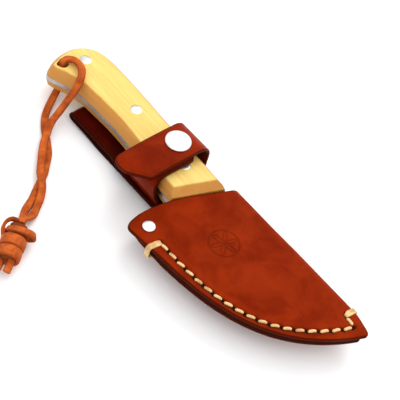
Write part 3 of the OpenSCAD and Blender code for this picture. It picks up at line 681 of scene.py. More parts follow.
def sweepRibbon(name, path, sides, width, thick, material, matrix, closed=False, waver=0.0, seed=1, taper=None,
                dark=None, n=16):
    # A flat lace along a path. sides is the direction of its width at each point.
    run = directions(np.vstack([path[-1], path, path[0]]))[1:-1] if closed else directions(path)
    sides = sides - (sides * run).sum(1)[:, None] * run
    sides /= np.linalg.norm(sides, axis=1)[:, None]
    ups = np.cross(sides, run)
    section = ribbonSection(width, thick, n)
    along = lengthsAlong(path)
    random = np.random.default_rng(seed)
    waves = [(random.uniform(0.25, 1.3), random.uniform(0, 6.28), k) for k in random.uniform(0.4, 1.0, 5)]
    points, flat, edge = [], [], []
    for i, p in enumerate(path):
        wide = 1 + waver * sum(math.sin(f * along[i] + q) * k for f, q, k in waves) / 5
        high = 1 + waver * sum(math.cos(f * 1.7 * along[i] + q * 2) * k for f, q, k in waves) / 4
        if taper is not None:
            wide, high = wide * taper[i], high * taper[i]
        shape = section * (wide, high)
        points += [p + sides[i] * a + ups[i] * b for a, b in shape]
        flat += [(along[i], a, b) for a, b in shape]
        edge += [min(1.0, abs(a) / (width / 2)) ** 5 for a, b in section]
    # dark: painted shade, set only on the knot's core
    values = {"edge": edge, "dark": np.repeat(np.zeros(len(path)) if dark is None else dark, n)}
    return makePiece(name, np.array(points), ringFaces(len(path), n, closed), material, matrix, 60, values,
                     np.array(flat))


def softened(vectors, times):
    for _ in range(times):
        v = np.vstack([vectors[:1], vectors, vectors[-1:]])
        vectors = (v[:-2] + 2 * v[1:-1] + v[2:]) / 4
    return vectors / np.linalg.norm(vectors, axis=1)[:, None]


def makeLace(name, route, seed):
    path = spline(route, 5)
    path = resampled(path, 1.0)
    sides = np.cross(directions(path), (0, 0, 1.0))
    sides = softened(sides / np.maximum(np.linalg.norm(sides, axis=1), 1e-9)[:, None], 12)
    lace = sweepRibbon(name, path, sides, lanyard["width"], lanyard["thick"], laceLeather, tableMatrix,
                       waver=0.10, seed=seed)
    return lace, path


frontLace, frontPath = makeLace("frontLace", frontRoute, 3)
backLace, backPath = makeLace("backLace", backRoute, 8)

knotAxis = Vector((math.cos(math.radians(lanyard["angle"])), math.sin(math.radians(lanyard["angle"])), 0))
knotSide = Vector((-knotAxis.y, knotAxis.x, 0))
knotStart = Vector(lanyard["turnFrom"])


def knotPoint(along, side, up):
    return np.array(knotStart + knotAxis * along + knotSide * side + Vector((0, 0, up)))


def knotBand(name, centre, radii, width, thick, lean=0.0, sweep=(0, 360), shift=(0.0, 0.0), seed=1, flare=0.0, n=16):
    # A lace turned round the knot's axis: lean tips the turn, shift moves its middle, flare bends its width out.
    closed = sweep[1] - sweep[0] >= 360
    angles = np.radians(np.linspace(sweep[0], sweep[1], 73)[:-1] if closed else np.linspace(sweep[0], sweep[1], 49))
    path = np.array([knotPoint(centre + lean * math.sin(a), shift[0] + radii[0] * math.cos(a),
                               shift[1] + radii[1] * math.sin(a)) for a in angles])
    axis = np.array(knotAxis)
    sides = np.tile(axis, (len(path), 1))
    if flare:
        out = path - knotPoint(centre, *shift)
        out /= np.linalg.norm(out, axis=1)[:, None]
        sides = sides + out * flare
    return sweepRibbon(name, path, sides, width, thick, laceLeather, tableMatrix, closed=closed, waver=0.05,
                       seed=seed, n=n)


def makeKnot():
    pieces = [
        knotBand("knotBarrelUpper", 12.7, (6.0, 6.0), 7.0, 2.1, lean=0.7, seed=11),
        knotBand("knotBarrelLower", 19.8, (5.8, 5.8), 7.0, 2.1, lean=0.7, seed=12),
        knotBand("knotTurn", 4.6, (7.4, 4.9), 4.8, 2.0, lean=1.6, shift=(2.0, 0.2), seed=13, flare=0.35),
    ]
    ring = np.array([knotPoint(-1.5, -2.0, 1.6), knotPoint(-0.6, -4.6, 3.2), knotPoint(2.0, -6.8, 3.6),
                     knotPoint(5.4, -7.6, 2.6), knotPoint(8.6, -6.6, 1.2), knotPoint(11.0, -5.0, 0.2)])
    path = resampled(spline(ring, 8), 0.8)
    sides = np.tile(np.array([0.25, 0.1, 1.0]), (len(path), 1))
    pieces.append(sweepRibbon("knotRing", path, sides, 3.6, 1.9, laceLeather, tableMatrix, waver=0.05, seed=14))
    core = np.array([knotPoint(t, 0, 0) for t in np.linspace(1.0, 23.0, 23)])
    fill = np.ones(23)
    fill[[0, -1]] = 0.7
    # painted shade: the core inside the barrel turns is darkened
    pieces.append(sweepRibbon("knotCore", core, np.tile(np.array(knotSide), (23, 1)), 9.6, 9.6, laceLeather,
                              tableMatrix, waver=0.03, seed=15, taper=fill, dark=np.full(23, 0.6), n=24))
    for k, (side, lift, turn) in enumerate(((-3.1, -1.6, 0.35), (2.9, 0.6, -0.3))):
        start = lanyard["turnLength"] + lanyard["barrelLength"]
        path = np.array([knotPoint(start - 3 + t, side + 0.06 * t * (-1) ** k, lift * (1 - t / 10))
                         for t in np.linspace(0, 3 + lanyard["tail"], 14)])
        sides = np.tile(np.array(knotSide) + np.array([0, 0, turn]), (14, 1))
        pieces.append(sweepRibbon(f"knotTail{k + 1}", path, sides, 4.0, 2.2, laceLeather, tableMatrix,
                                  waver=0.08, seed=16 + k))
    return pieces


knotPieces = makeKnot()
for piece in (frontLace, backLace, *knotPieces):
    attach(piece, "knife")
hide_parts("lanyard_front_strand")
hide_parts("lanyard_back_strand")
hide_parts("lanyard_knot")
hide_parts("lanyard_turn")
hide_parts("lanyard_tails")


print("lanyard made")


# ---- sheath pouch: one folded panel, cut flat, with the fold along the blade's back ----
pouch = {"thick": 2.1, "half": 4.0, "foldMid": 17.4, "crown": 0.18,
         "grooveDepth": 0.28, "grooveWidth": 0.95, "slotLength": 2.0, "slotWidth": 0.95, "slotDepth": 0.95,
         "slotTurn": -30.0, "stitches": 18}
stamp = {"centre": (31.1, -11.0), "radius": 8.6, "line": 0.55, "depth": 0.30}

foldTop = pouch["foldMid"] + pouch["half"] * math.pi / 2  # the fold's outermost line, on the flat piece

mouth = bezier((7.5, 21.4), (1.2, 3), (-10, -14.5), (-9, -38), 70)
frontPlan = chain(mouth, bezier((-9, -38), (-8.2, -43), (-8, -48.2), (-3, -48.2), 24),
                  bezier((20, -45.6), (60, -42.4), (97, -33.5), (117, 14), 150),
                  bezier((117, 14), (117, 15.4), (116.6, 16.5), (115, 17), 8),
                  bezier((111, 18.3), (107, 19.6), (104, 20.9), (99.5, 21.4), 24))
backPlan = chain(mouth[mouth[:, 1] > -35], bezier((-9, -37), (-8.6, -43.4), (-4, -44.6), (4, -45), 20),
                 bezier((20, -44.9), (58, -42), (95, -33), (115, 12.4), 150),
                 bezier((114.9, 13.4), (114.6, 15), (113.8, 16.2), (112, 17), 8),
                 bezier((109, 18), (106, 19.2), (103, 20.9), (99.5, 21.4), 24))
seamLine = bezier((12, -39.6), (56, -40), (90, -34.5), (109.2, 12), 400)
seamHoles = np.vstack([atLengths(seamLine, np.linspace(0, lengthsAlong(seamLine)[-1], pouch["stitches"] + 1)),
                       [[101.6, 14.2]]])
bindings = [(seamHoles[0], np.array([11.0, -46.9])), (seamHoles[-1], np.array([101.6, 21.6]))]


def unroll(y):
    over = np.clip((y - pouch["foldMid"]) / pouch["half"], 0, 1)
    return np.where(y > pouch["foldMid"], pouch["foldMid"] + pouch["half"] * np.arcsin(over), y)


def mirrorFlat(p):
    return np.column_stack([p[:, 0], 2 * foldTop - p[:, 1]])


def placePouch(p):
    turn = np.clip((p[:, 1] - pouch["foldMid"]) / pouch["half"], 0, math.pi)
    backStart = pouch["foldMid"] + math.pi * pouch["half"]
    y = np.where(p[:, 1] > backStart, pouch["foldMid"] - (p[:, 1] - backStart),
                 np.minimum(p[:, 1], pouch["foldMid"]) + pouch["half"] * np.sin(turn))
    normals = np.column_stack([0 * y, np.sin(turn), np.cos(turn)])
    return np.column_stack([p[:, 0], y, pouch["half"] * np.cos(turn)]), normals


def slow(p, size):  # a gentle unevenness, the same each time
    x, y = p[:, 0] / size, p[:, 1] / size
    return (np.sin(1.3 * x + 0.7 * y + 1.1) + np.sin(-0.8 * x + 1.9 * y + 2.3) + np.sin(2.2 * x + 1.4 * y + 4.2) * 0.6
            + np.sin(3.1 * x - 2.3 * y) * 0.4) / 3


def awlSlots(p):
    mask = np.zeros(len(p))
    turn = math.radians(pouch["slotTurn"])
    for hole, d in zip(seamHoles, directions(seamHoles)):
        c, s = math.cos(turn), math.sin(turn)
        along = np.array([d[0] * c - d[1] * s, d[0] * s + d[1] * c])
        q = p - hole
        a, b = q @ along, q @ np.array([-along[1], along[0]])
        mask = np.maximum(mask, np.exp(-((a / pouch["slotLength"]) ** 4 + (b / pouch["slotWidth"]) ** 2)))
    return mask


def rosette(p):  # a six-petalled compass flower in a ring
    q = (p - np.array(stamp["centre"])) / stamp["radius"]
    r = np.linalg.norm(q, axis=1)
    away = np.abs(r - 1.0)
    for k in range(6):
        c = np.array([math.cos(math.radians(60 * k + 12)), math.sin(math.radians(60 * k + 12))])
        arc = np.abs(np.linalg.norm(q - c, axis=1) - 1.0)
        away = np.minimum(away, np.where(r < 1.0, arc, 9))
    return np.exp(-(away * stamp["radius"] / stamp["line"]) ** 2) * (r < 1.15)


def pouchRelief(p, d):
    front = p[:, 1] < foldTop
    q = np.column_stack([p[:, 0], np.where(front, p[:, 1], 2 * foldTop - p[:, 1])])
    seam = pathDistance(q, seamHoles)
    groove = np.exp(-(seam / pouch["grooveWidth"]) ** 2)
    for a, b in bindings:
        groove = np.maximum(groove, 0.8 * np.exp(-(pathDistance(q, np.array([a, b])) / 1.3) ** 2))
    slots = awlSlots(q)
    flower = np.where(front, rosette(q), 0)
    inner = np.exp(-((seam - 4.5) / 2.5) ** 2) * (q[:, 1] > -45)
    height = (pouch["crown"] * slow(q, 16) * np.clip(d / 6, 0, 1) - pouch["grooveDepth"] * groove
              - pouch["slotDepth"] * slots - stamp["depth"] * flower - 0.12 * inner)
    # painted highlight along the fold's crest and on the ridge beside the seam groove
    near = np.exp(-((p[:, 1] - foldTop) / 4.5) ** 2)
    # the hide darkens from the seam's groove out to the cut edge
    outer = np.clip((3.4 - seam) / 1.6, 0, 1) * np.clip((4.6 - d) / 1.4, 0, 1)
    # dark: painted shade in the awl slots, the seam's groove and the stamp's lines, with the darker band out to the
    # edge
    return height, {"dark": np.clip(0.95 * slots + 0.30 * flower + 0.30 * groove + 0.34 * outer, 0, 1),
                    "paintedSheen": np.clip(0.9 * near + 0.3 * np.exp(-((seam - 3.4) / 1.2) ** 2), 0, 1)}


def makePouch():
    flatFront = resampled(np.column_stack([frontPlan[:, 0], unroll(frontPlan[:, 1])]), 0.85)
    flatBack = resampled(np.column_stack([backPlan[:, 0], unroll(backPlan[:, 1])]), 0.85)
    outline = np.vstack([flatFront, mirrorFlat(flatBack)[::-1][1:-1]])

    def nearSeam(p):
        return pathDistance(p, seamHoles) < 2.3

    def nearBackSeam(p):
        return pathDistance(mirrorFlat(p), seamHoles) < 2.0

    def nearStamp(p):
        return np.linalg.norm(p - np.array(stamp["centre"]), axis=1) < stamp["radius"] * 1.2

    def nearFold(p):
        return np.abs(p[:, 1] - foldTop) < 8.2

    bands = [(nearSeam, (0.42, 0.42)), (nearStamp, (0.34, 0.34)), (nearBackSeam, (0.6, 0.6)),
             (nearFold, (1.4, 0.6)), (everywhere, (1.6, 1.5))]
    piece = makeSheet("pouchPanel", [outline], bands, placePouch, pouch["thick"], pouchLeather, top=0.85, under=0.28,
                      relief=pouchRelief, coarse=[(nearFold, (2.5, 1.2)), (everywhere, (4.0, 4.0))])
    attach(piece, "sheath")
    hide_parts("sheath_body")
    return piece


makePouch()


welt = {"thick": 3.74, "round": 0.35, "spacing": 2.4}


def makeWelt():  # the filler strip between the panels along the seam; its edge shows as the middle layer
    keep = backPlan[(backPlan[:, 1] < 19.1) & ((backPlan[:, 1] < -34) | (backPlan[:, 0] > 6))]
    inner = bezier((8, -34), (56, -33), (88, -21.5), (104, 12), 60)
    outer = resampled(keep, 0.9)
    d = directions(outer)
    outer = outer + np.stack([-d[:, 1], d[:, 0]], 1) * 0.16
    outline = np.vstack([outer, [(102.6, 19.0), (102.8, 15.6)], inner[::-1]])

    def placeWelt(p):
        over = np.maximum(p[:, 1] - pouch["foldMid"], 0) / 1.9
        high = welt["thick"] / 2 * np.sqrt(np.clip(1 - over ** 2, 0.01, 1))
        return np.column_stack([p, high]), np.tile((0, 0, 1.0), (len(p), 1))

    bands = [(everywhere, (welt["spacing"], welt["spacing"]))]
    piece = makeSheet("weltStrip", [outline], bands, placeWelt, welt["thick"], shadowLoopLeather, top=welt["round"],
                      under=welt["round"])
    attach(piece, "sheath")
    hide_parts("welt")


makeWelt()
print("pouch made")


# ---- stitches ----
stitch = {"length": 4.5, "width": 1.95, "height": 0.66, "dive": 0.8, "turns": 1.3, "lift": 0.02, "lean": 9.0}


def stitchTree():
    # One stitch of two-ply thread on each point, laid by its vector attribute.
    tree = bpy.data.node_groups.new("laidStitches", "GeometryNodeTree")
    face = tree.interface
    face.new_socket("Geometry", in_out="INPUT", socket_type="NodeSocketGeometry")
    for label, kind in (("Stitch Length", "NodeSocketFloat"), ("Thread Width", "NodeSocketFloat"),
                        ("Flatness", "NodeSocketFloat"), ("Dive", "NodeSocketFloat"), ("Turns", "NodeSocketFloat"),
                        ("Jitter", "NodeSocketFloat"), ("Seed", "NodeSocketInt"),
                        ("Thread", "NodeSocketMaterial")):
        face.new_socket(label, in_out="INPUT", socket_type=kind)
    face.new_socket("Geometry", in_out="OUTPUT", socket_type="NodeSocketGeometry")
    gin, gout = tree.nodes.new("NodeGroupInput"), tree.nodes.new("NodeGroupOutput")
    out = {s.name: s for s in gin.outputs}
    half = doMath(tree, "MULTIPLY", out["Stitch Length"], 0.5)
    minus = doMath(tree, "MULTIPLY", out["Stitch Length"], -0.5)
    start = addNode(tree, "ShaderNodeCombineXYZ", links={0: minus})
    end = addNode(tree, "ShaderNodeCombineXYZ", links={0: half})
    line = addNode(tree, "GeometryNodeCurvePrimitiveLine", links={"Start": start.outputs[0], "End": end.outputs[0]})
    spaced = addNode(tree, "GeometryNodeResampleCurve", sockets={"Count": 11}, links={"Curve": line.outputs[0]})
    share = tree.nodes.new("GeometryNodeSplineParameter").outputs["Factor"]
    middle = doMath(tree, "MULTIPLY_ADD", share, 2.0, -1.0)
    square = doMath(tree, "MULTIPLY", middle, middle)
    fourth = doMath(tree, "MULTIPLY", square, square)
    drop = doMath(tree, "MULTIPLY", doMath(tree, "MULTIPLY", fourth, -1.0), out["Dive"])
    bent = addNode(tree, "GeometryNodeSetPosition", links={
        "Geometry": spaced.outputs[0], "Offset": addNode(tree, "ShaderNodeCombineXYZ", links={2: drop}).outputs[0]})
    slim = doMath(tree, "SQRT", doMath(tree, "SUBTRACT", 1.0, doMath(tree, "MULTIPLY", fourth, 0.86)))
    radius = addNode(tree, "GeometryNodeSetCurveRadius", links={"Curve": bent.outputs[0], "Radius": slim})
    twist = doMath(tree, "MULTIPLY", doMath(tree, "MULTIPLY", share, out["Turns"]), 2 * math.pi)
    tilted = addNode(tree, "GeometryNodeSetCurveTilt", links={"Curve": radius.outputs[0], "Tilt": twist})
    wide = doMath(tree, "MULTIPLY", out["Thread Width"], 0.5)
    narrow = doMath(tree, "MULTIPLY", out["Thread Width"], 0.41)
    lobes = addNode(tree, "GeometryNodeCurveStar", sockets={"Points": 4},
                    links={"Inner Radius": narrow, "Outer Radius": wide})
    tube = addNode(tree, "GeometryNodeCurveToMesh", sockets={"Fill Caps": True},
                   links={"Curve": tilted.outputs[0], "Profile Curve": lobes.outputs[0]})
    if "Scale" in tube.inputs:
        tree.links.new(slim, tube.inputs["Scale"])
    lay = addNode(tree, "GeometryNodeInputNamedAttribute", {"data_type": "FLOAT_VECTOR"}, {"Name": "lay"})
    spread = addNode(tree, "FunctionNodeRandomValue", {"data_type": "FLOAT_VECTOR"},
                     links={"Seed": out["Seed"]})
    centred = addNode(tree, "ShaderNodeVectorMath", {"operation": "SUBTRACT"}, {1: (0.5, 0.5, 0.5)},
                      {0: spread.outputs[0]})
    jitter = addNode(tree, "ShaderNodeVectorMath", {"operation": "SCALE"},
                     links={0: centred.outputs[0], "Scale": out["Jitter"]})
    turned = addNode(tree, "ShaderNodeVectorMath", {"operation": "ADD"},
                     links={0: lay.outputs["Attribute"], 1: jitter.outputs[0]})
    euler = addNode(tree, "FunctionNodeEulerToRotation", links={0: turned.outputs[0]})
    scale = addNode(tree, "ShaderNodeCombineXYZ", sockets={0: 1.0, 1: 1.0}, links={2: out["Flatness"]})
    laid = addNode(tree, "GeometryNodeInstanceOnPoints", links={
        "Points": out["Geometry"], "Instance": tube.outputs[0], "Rotation": euler.outputs[0],
        "Scale": scale.outputs[0]})
    real = addNode(tree, "GeometryNodeRealizeInstances", links={"Geometry": laid.outputs[0]})
    painted = addNode(tree, "GeometryNodeSetMaterial", links={"Geometry": real.outputs[0],
                                                              "Material": out["Thread"]})
    tree.links.new(painted.outputs[0], gout.inputs[0])
    return tree


laidStitches = stitchTree()


def layAngles(along, normal):
    along, normal = Vector(along).normalized(), Vector(normal).normalized()
    side = normal.cross(along).normalized()
    along = side.cross(normal)
    axes = Matrix((along, side, normal)).transposed()
    return tuple(axes.to_euler("XYZ"))


def stitchRun(holes, z, normal, lean):
    places, lays = [], []
    rotation = seatMatrix.to_3x3().normalized()
    for k in range(len(holes) - 1):
        a, b = holes[k], holes[k + 1]
        d = (b - a) / np.linalg.norm(b - a)
        t = math.radians(lean)
        run = (d[0] * math.cos(t) - d[1] * math.sin(t), d[0] * math.sin(t) + d[1] * math.cos(t), 0)
        middle = (a + b) / 2
        places.append((middle[0], middle[1], z))
        lays.append(layAngles(rotation @ Vector(run), rotation @ Vector((0, 0, normal))))
    return places, lays


def makeStitches(name, places, lays, body, node, seed):
    inputs = {"Stitch Length": stitch["length"] * 0.001, "Thread Width": stitch["width"] * 0.001,
              "Flatness": stitch["height"], "Dive": stitch["dive"] * 0.001 / stitch["height"],
              "Turns": stitch["turns"], "Jitter": 0.12, "Seed": seed, "Thread": waxedThread}
    piece = geometryPiece(name, laidStitches, inputs, toRow(places), {"lay": lays})
    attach(piece, body)
    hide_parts(node)


sitsAt = pouch["half"] + stitch["lift"]
frontRun = stitchRun(seamHoles, sitsAt, 1, stitch["lean"])
backRun = stitchRun(seamHoles, -sitsAt, -1, stitch["lean"])
makeStitches("seamStitches", frontRun[0] + backRun[0], frontRun[1] + backRun[1], "sheath", "seam_thread", 5)


binding = {"width": 1.75, "thick": 1.15, "apart": 0.85, "lift": 0.25}


def makeBindings():  # the seam's two ends, where the thread goes round the leather's edge
    for number, (hole, edge) in enumerate(bindings):
        out = (edge - hole) / np.linalg.norm(edge - hole)
        across = np.array([-out[1], out[0]])
        reach = np.linalg.norm(edge - hole)
        top = pouch["half"] + binding["lift"]
        if number == 0:
            side = [(0, 2.6), (0.3, top - 0.2), (reach * 0.5, top), (reach - 0.9, top - 0.1),
                    (reach + 0.05, top - 0.9), (reach + 0.3, 2.2), (reach + 0.3, 0)]
        else:
            side = [(0, 2.6), (0.2, top - 0.2), (reach * 0.35, top - 0.05), (reach * 0.62, top - 0.9),
                    (reach * 0.86, 2.6), (reach + 0.15, 1.3), (reach + 0.3, 0)]
        profile = np.array(side + [(a, -b) for a, b in side[::-1][1:]])
        aroundEdge = resampled(spline(profile, 6), 0.45)
        for strand in (-1, 1):
            slip = across * strand * binding["apart"]
            path = np.array([(*(hole + out * a + slip * min(1, a / 2 + 0.35)), b) for a, b in aroundEdge])
            sides = np.tile((*across, 0.0), (len(path), 1))
            turned = np.array([math.sin(2.1 * t + strand) for t in lengthsAlong(path)])
            name = f"bindingStitch{number + 1}{'ab'[(strand + 1) // 2]}"
            piece = sweepRibbon(name, path, sides, binding["width"], binding["thick"], waxedThread, seatMatrix,
                                waver=0.06, seed=21 + number * 2 + strand, n=12, taper=1 + 0.05 * turned)
            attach(piece, "sheath")


makeBindings()
print("stitches made")


# ---- belt loop ----
loop = {"thick": 2.1, "width": 34.0, "slitPart": 39.2, "reach": 94.0, "foldHeight": 5.4, "handle": 9.0,
        "sewnFrom": 19.0, "sewnTo": 36.0, "slitWidth": 4.2, "slitY": (-14.9, 15.3), "slitX": (-40.9, -14.5)}
loopFront = -(loop["handle"] + 0.4 + loop["thick"] / 2)
keeperLow = loopFront - loop["thick"] - 0.05
loopBack = keeperLow - loop["thick"] - 0.15


def loopPath():  # the strip's middle in (x, z), from its sewn end along the front layer, round and back
    thick = loop["thick"]
    sewnZ = -pouch["half"] - thick / 2 - 0.03
    backZ = sewnZ - thick - 0.1
    r = (loop["foldHeight"] - thick) / 2
    turn = [(r - loop["reach"] - r * math.sin(math.radians(a)), loopFront - r * (1 - math.cos(math.radians(a))))
            for a in range(0, 181, 10)]
    frontPart = chain([(loop["sewnTo"], sewnZ)],
                      bezier((14, sewnZ), (8, sewnZ), (8, loopFront), (-2.5, loopFront), 24))
    whole = chain(frontPart, turn,
                  bezier((-84, loopFront - 2 * r), (-76, loopFront - 2 * r), (-70, loopBack), (-62, loopBack), 16),
                  bezier((-4, loopBack), (8, loopBack), (11, backZ - 0.2), (loop["sewnFrom"], backZ), 24),
                  [(loop["sewnTo"], backZ)])
    toFold = lengthsAlong(frontPart)[-1] + (loop["reach"] - r - 2.5)
    return resampled(np.asarray(whole, float), 0.5), toFold


def makeBeltLoop():
    path, frontEnd = loopPath()
    along = lengthsAlong(path)
    normals = directions(path)
    normals = np.column_stack([normals[:, 1], -normals[:, 0]])
    for _ in range(3):
        normals[1:-1] = (normals[:-2] + 2 * normals[1:-1] + normals[2:]) / 4
    normals /= np.linalg.norm(normals, axis=1)[:, None]
    wide, slim = loop["slitPart"] / 2, loop["width"] / 2
    edgeLine = chain(bezier((-58, slim), (-50, slim), (-52, wide), (-44, wide), 16),
                     bezier((-14, wide), (-6, wide), (-6, slim), (4, slim), 16))

    stations = np.arange(0, along[-1] + 0.01, 1.2)
    x = np.interp(stations, along, path[:, 0])
    half = np.where(stations < frontEnd, np.interp(x, edgeLine[:, 0], edgeLine[:, 1]), slim)
    outline = np.vstack([np.column_stack([stations, -half]),
                         np.linspace((along[-1], -slim), (along[-1], slim), 29),
                         np.column_stack([stations, half])[::-1],
                         np.linspace((0, slim), (0, -slim), 29)])
    keep = np.linalg.norm(outline - np.roll(outline, 1, 0), axis=1) > 0.25
    outline = outline[keep]
    front = along < frontEnd
    ends = sorted(np.interp(-k, -path[front, 0], along[front]) for k in loop["slitX"])
    holes = []
    for y in loop["slitY"]:
        w = loop["slitWidth"] / 2
        box = [(ends[0], y - w), (ends[1], y - w), (ends[1], y + w), (ends[0], y + w), (ends[0], y - w)]
        holes.append(resampled(np.array(box, float), 0.9)[:-1])

    def placeLoop(p):
        px = np.interp(p[:, 0], along, path[:, 0])
        pz = np.interp(p[:, 0], along, path[:, 1])
        nx = np.interp(p[:, 0], along, normals[:, 0])
        nz = np.interp(p[:, 0], along, normals[:, 1])
        n = np.column_stack([nx, 0 * nx, nz])
        n /= np.linalg.norm(n, axis=1)[:, None]
        return np.column_stack([px, p[:, 1], pz]) + n * loop["thick"] / 2, n

    def relief(p, d):
        crease = np.exp(-((d - 3.0) / 0.45) ** 2)
        # the crease line along the edges is darkened as painted shade
        return 0.10 * slow(p, 14) * np.clip(d / 5, 0, 1) - 0.22 * crease, {"dark": 0.35 * crease}

    foldAt = frontEnd + math.pi * 0.8

    def nearTurn(p):
        return np.abs(p[:, 0] - foldAt) < 11

    def nearCrease(p):
        return np.abs(np.abs(p[:, 1]) - loop["width"] / 2 + 3.0) < 1.5

    piece = makeSheet("beltLoop", [outline] + holes, [(nearTurn, (0.6, 1.6)), (nearCrease, (1.6, 0.5)),
                                                     (everywhere, (1.6, 1.7))],
                      placeLoop, loop["thick"], shadowLoopLeather, top=0.7, under=0.5, relief=relief)
    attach(piece, "sheath")
    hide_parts("belt_loop")
    rows = [np.array([(x, y) for y in range(-14, 15, 7)], float) for x in (loop["sewnFrom"] + 3, loop["sewnTo"] - 3)]
    backZ = -pouch["half"] - 2 * loop["thick"] - 0.15
    places, lays = [], []
    for row in rows:
        a, b = stitchRun(row, backZ, -1, stitch["lean"])
        places, lays = places + a, lays + b
    for y in (-14.0, 14.0):
        a, b = stitchRun(np.array([(x, y) for x in np.linspace(rows[0][0][0], rows[1][0][0], 3)]), backZ, -1, 0)
        places, lays = places + a, lays + b
    makeStitches("loopStitches", places, lays, "sheath", "loop_thread", 6)


makeBeltLoop()
print("belt loop made")


# ---- keeper strap, in (y, z) across the knife; three lengths that meet flush ----
keeper = {"width": 23.0, "reach": 28.9, "thick": 2.1, "innerZ": 11.05, "flapZ": 16.25, "bendRadius": 8.95,
          "outerY": 20.6, "snap": (-29.2, 4.4), "bore": 3.4, "flare": 2.4, "tail": -33.6,
          "bendFrom": (19.6, 7.6), "bendTo": (12.5, 16.0)}
bendMid = np.array([keeper["outerY"] - keeper["thick"] / 2 - keeper["bendRadius"],
                    keeper["flapZ"] - keeper["bendRadius"]])
keeperX = (-keeper["reach"] - keeper["width"] / 2, -keeper["reach"] + keeper["width"] / 2)


def arc(mid, r, a0, a1, n):
    a = np.radians(np.linspace(a0, a1, n + 1))
    return np.stack([mid[0] + r * np.cos(a), mid[1] + r * np.sin(a)], 1)


def keeperPath():
    base = keeperLow
    path = chain([(13, keeper["innerZ"]), (0, keeper["innerZ"])],
                 arc((-11.8, keeper["innerZ"] - 7.5), 7.5, 90, 180, 24),
                 bezier((-19.3, 2), (-19.3, -4), (-15.7, -6), (-15.7, base + 3), 16),
                 arc((-12.7, base + 3), 3, 200, 270, 12), arc((13.1, base + 3), 3, 270, 340, 12),
                 bezier((16.1, base + 3), (16.1, -6), (19.55, -5), (19.55, 1), 16),
                 arc(bendMid, keeper["bendRadius"], 0, 90, 40),
                 bezier((-3, keeper["flapZ"]), (-12, keeper["flapZ"]), (-22, keeper["flapZ"] - 0.3),
                        (keeper["tail"], keeper["flapZ"] - 1.9), 24))
    return resampled(np.asarray(path, float), 0.4)


keeperLine = keeperPath()
keeperAlong = lengthsAlong(keeperLine)
keeperNormals = np.column_stack([-directions(keeperLine)[:, 1], directions(keeperLine)[:, 0]])
for _ in range(4):
    keeperNormals[1:-1] = (keeperNormals[:-2] + 2 * keeperNormals[1:-1] + keeperNormals[2:]) / 4
keeperNormals /= np.linalg.norm(keeperNormals, axis=1)[:, None]
keeperOut = 1 if keeperNormals[0][1] > 0 else -1


def lengthWhere(test, last=True):
    found = np.nonzero(test)[0]
    return keeperAlong[found[-1] if last else found[0]]


sideCut = lengthWhere((keeperLine[:, 0] > 18) & (keeperLine[:, 1] < 2.5))
flatCut = lengthWhere((keeperLine[:, 1] > 15) & (keeperLine[:, 0] < 9.2), last=False)


def placeKeeper(p):
    y = np.interp(p[:, 1], keeperAlong, keeperLine[:, 0])
    z = np.interp(p[:, 1], keeperAlong, keeperLine[:, 1])
    n = np.column_stack([0 * y, np.interp(p[:, 1], keeperAlong, keeperNormals[:, 0]),
                         np.interp(p[:, 1], keeperAlong, keeperNormals[:, 1])]) * keeperOut
    n /= np.linalg.norm(n, axis=1)[:, None]
    return np.column_stack([p[:, 0], y, z]) + n * keeper["thick"] / 2, n


def keeperPiece(name, outline, holes, cut, bands):
    def relief(p, d):
        # the crease line is darkened as painted shade, and the bend is lightened as a painted highlight
        crease = np.exp(-((d - 2.2) / 0.4) ** 2)
        bend = np.exp(-((p[:, 1] - (sideCut + 13)) / 8) ** 2)
        return 0.08 * slow(p, 9) * np.clip(d / 3, 0, 1) - 0.14 * crease, {"dark": 0.22 * crease, "paintedSheen": 0.7 * bend}

    piece = makeSheet(name, [outline] + holes, bands, placeKeeper, keeper["thick"], strapLeather, top=0.75,
                      under=0.4, relief=relief, cut=cut)
    return piece


def stripOutline(low, high, leftX, rightX, step=0.9):
    s = np.linspace(low, high, max(2, int((high - low) / step)))
    left = np.column_stack([leftX(s), s])
    right = np.column_stack([rightX(s), s])
    return left, right


def straight(x):
    return lambda s: np.full(len(s), float(x))


def fillEnd(a, b, step=0.9):
    return np.linspace(a, b, max(2, int(np.linalg.norm(np.subtract(a, b)) / step)))[1:-1]


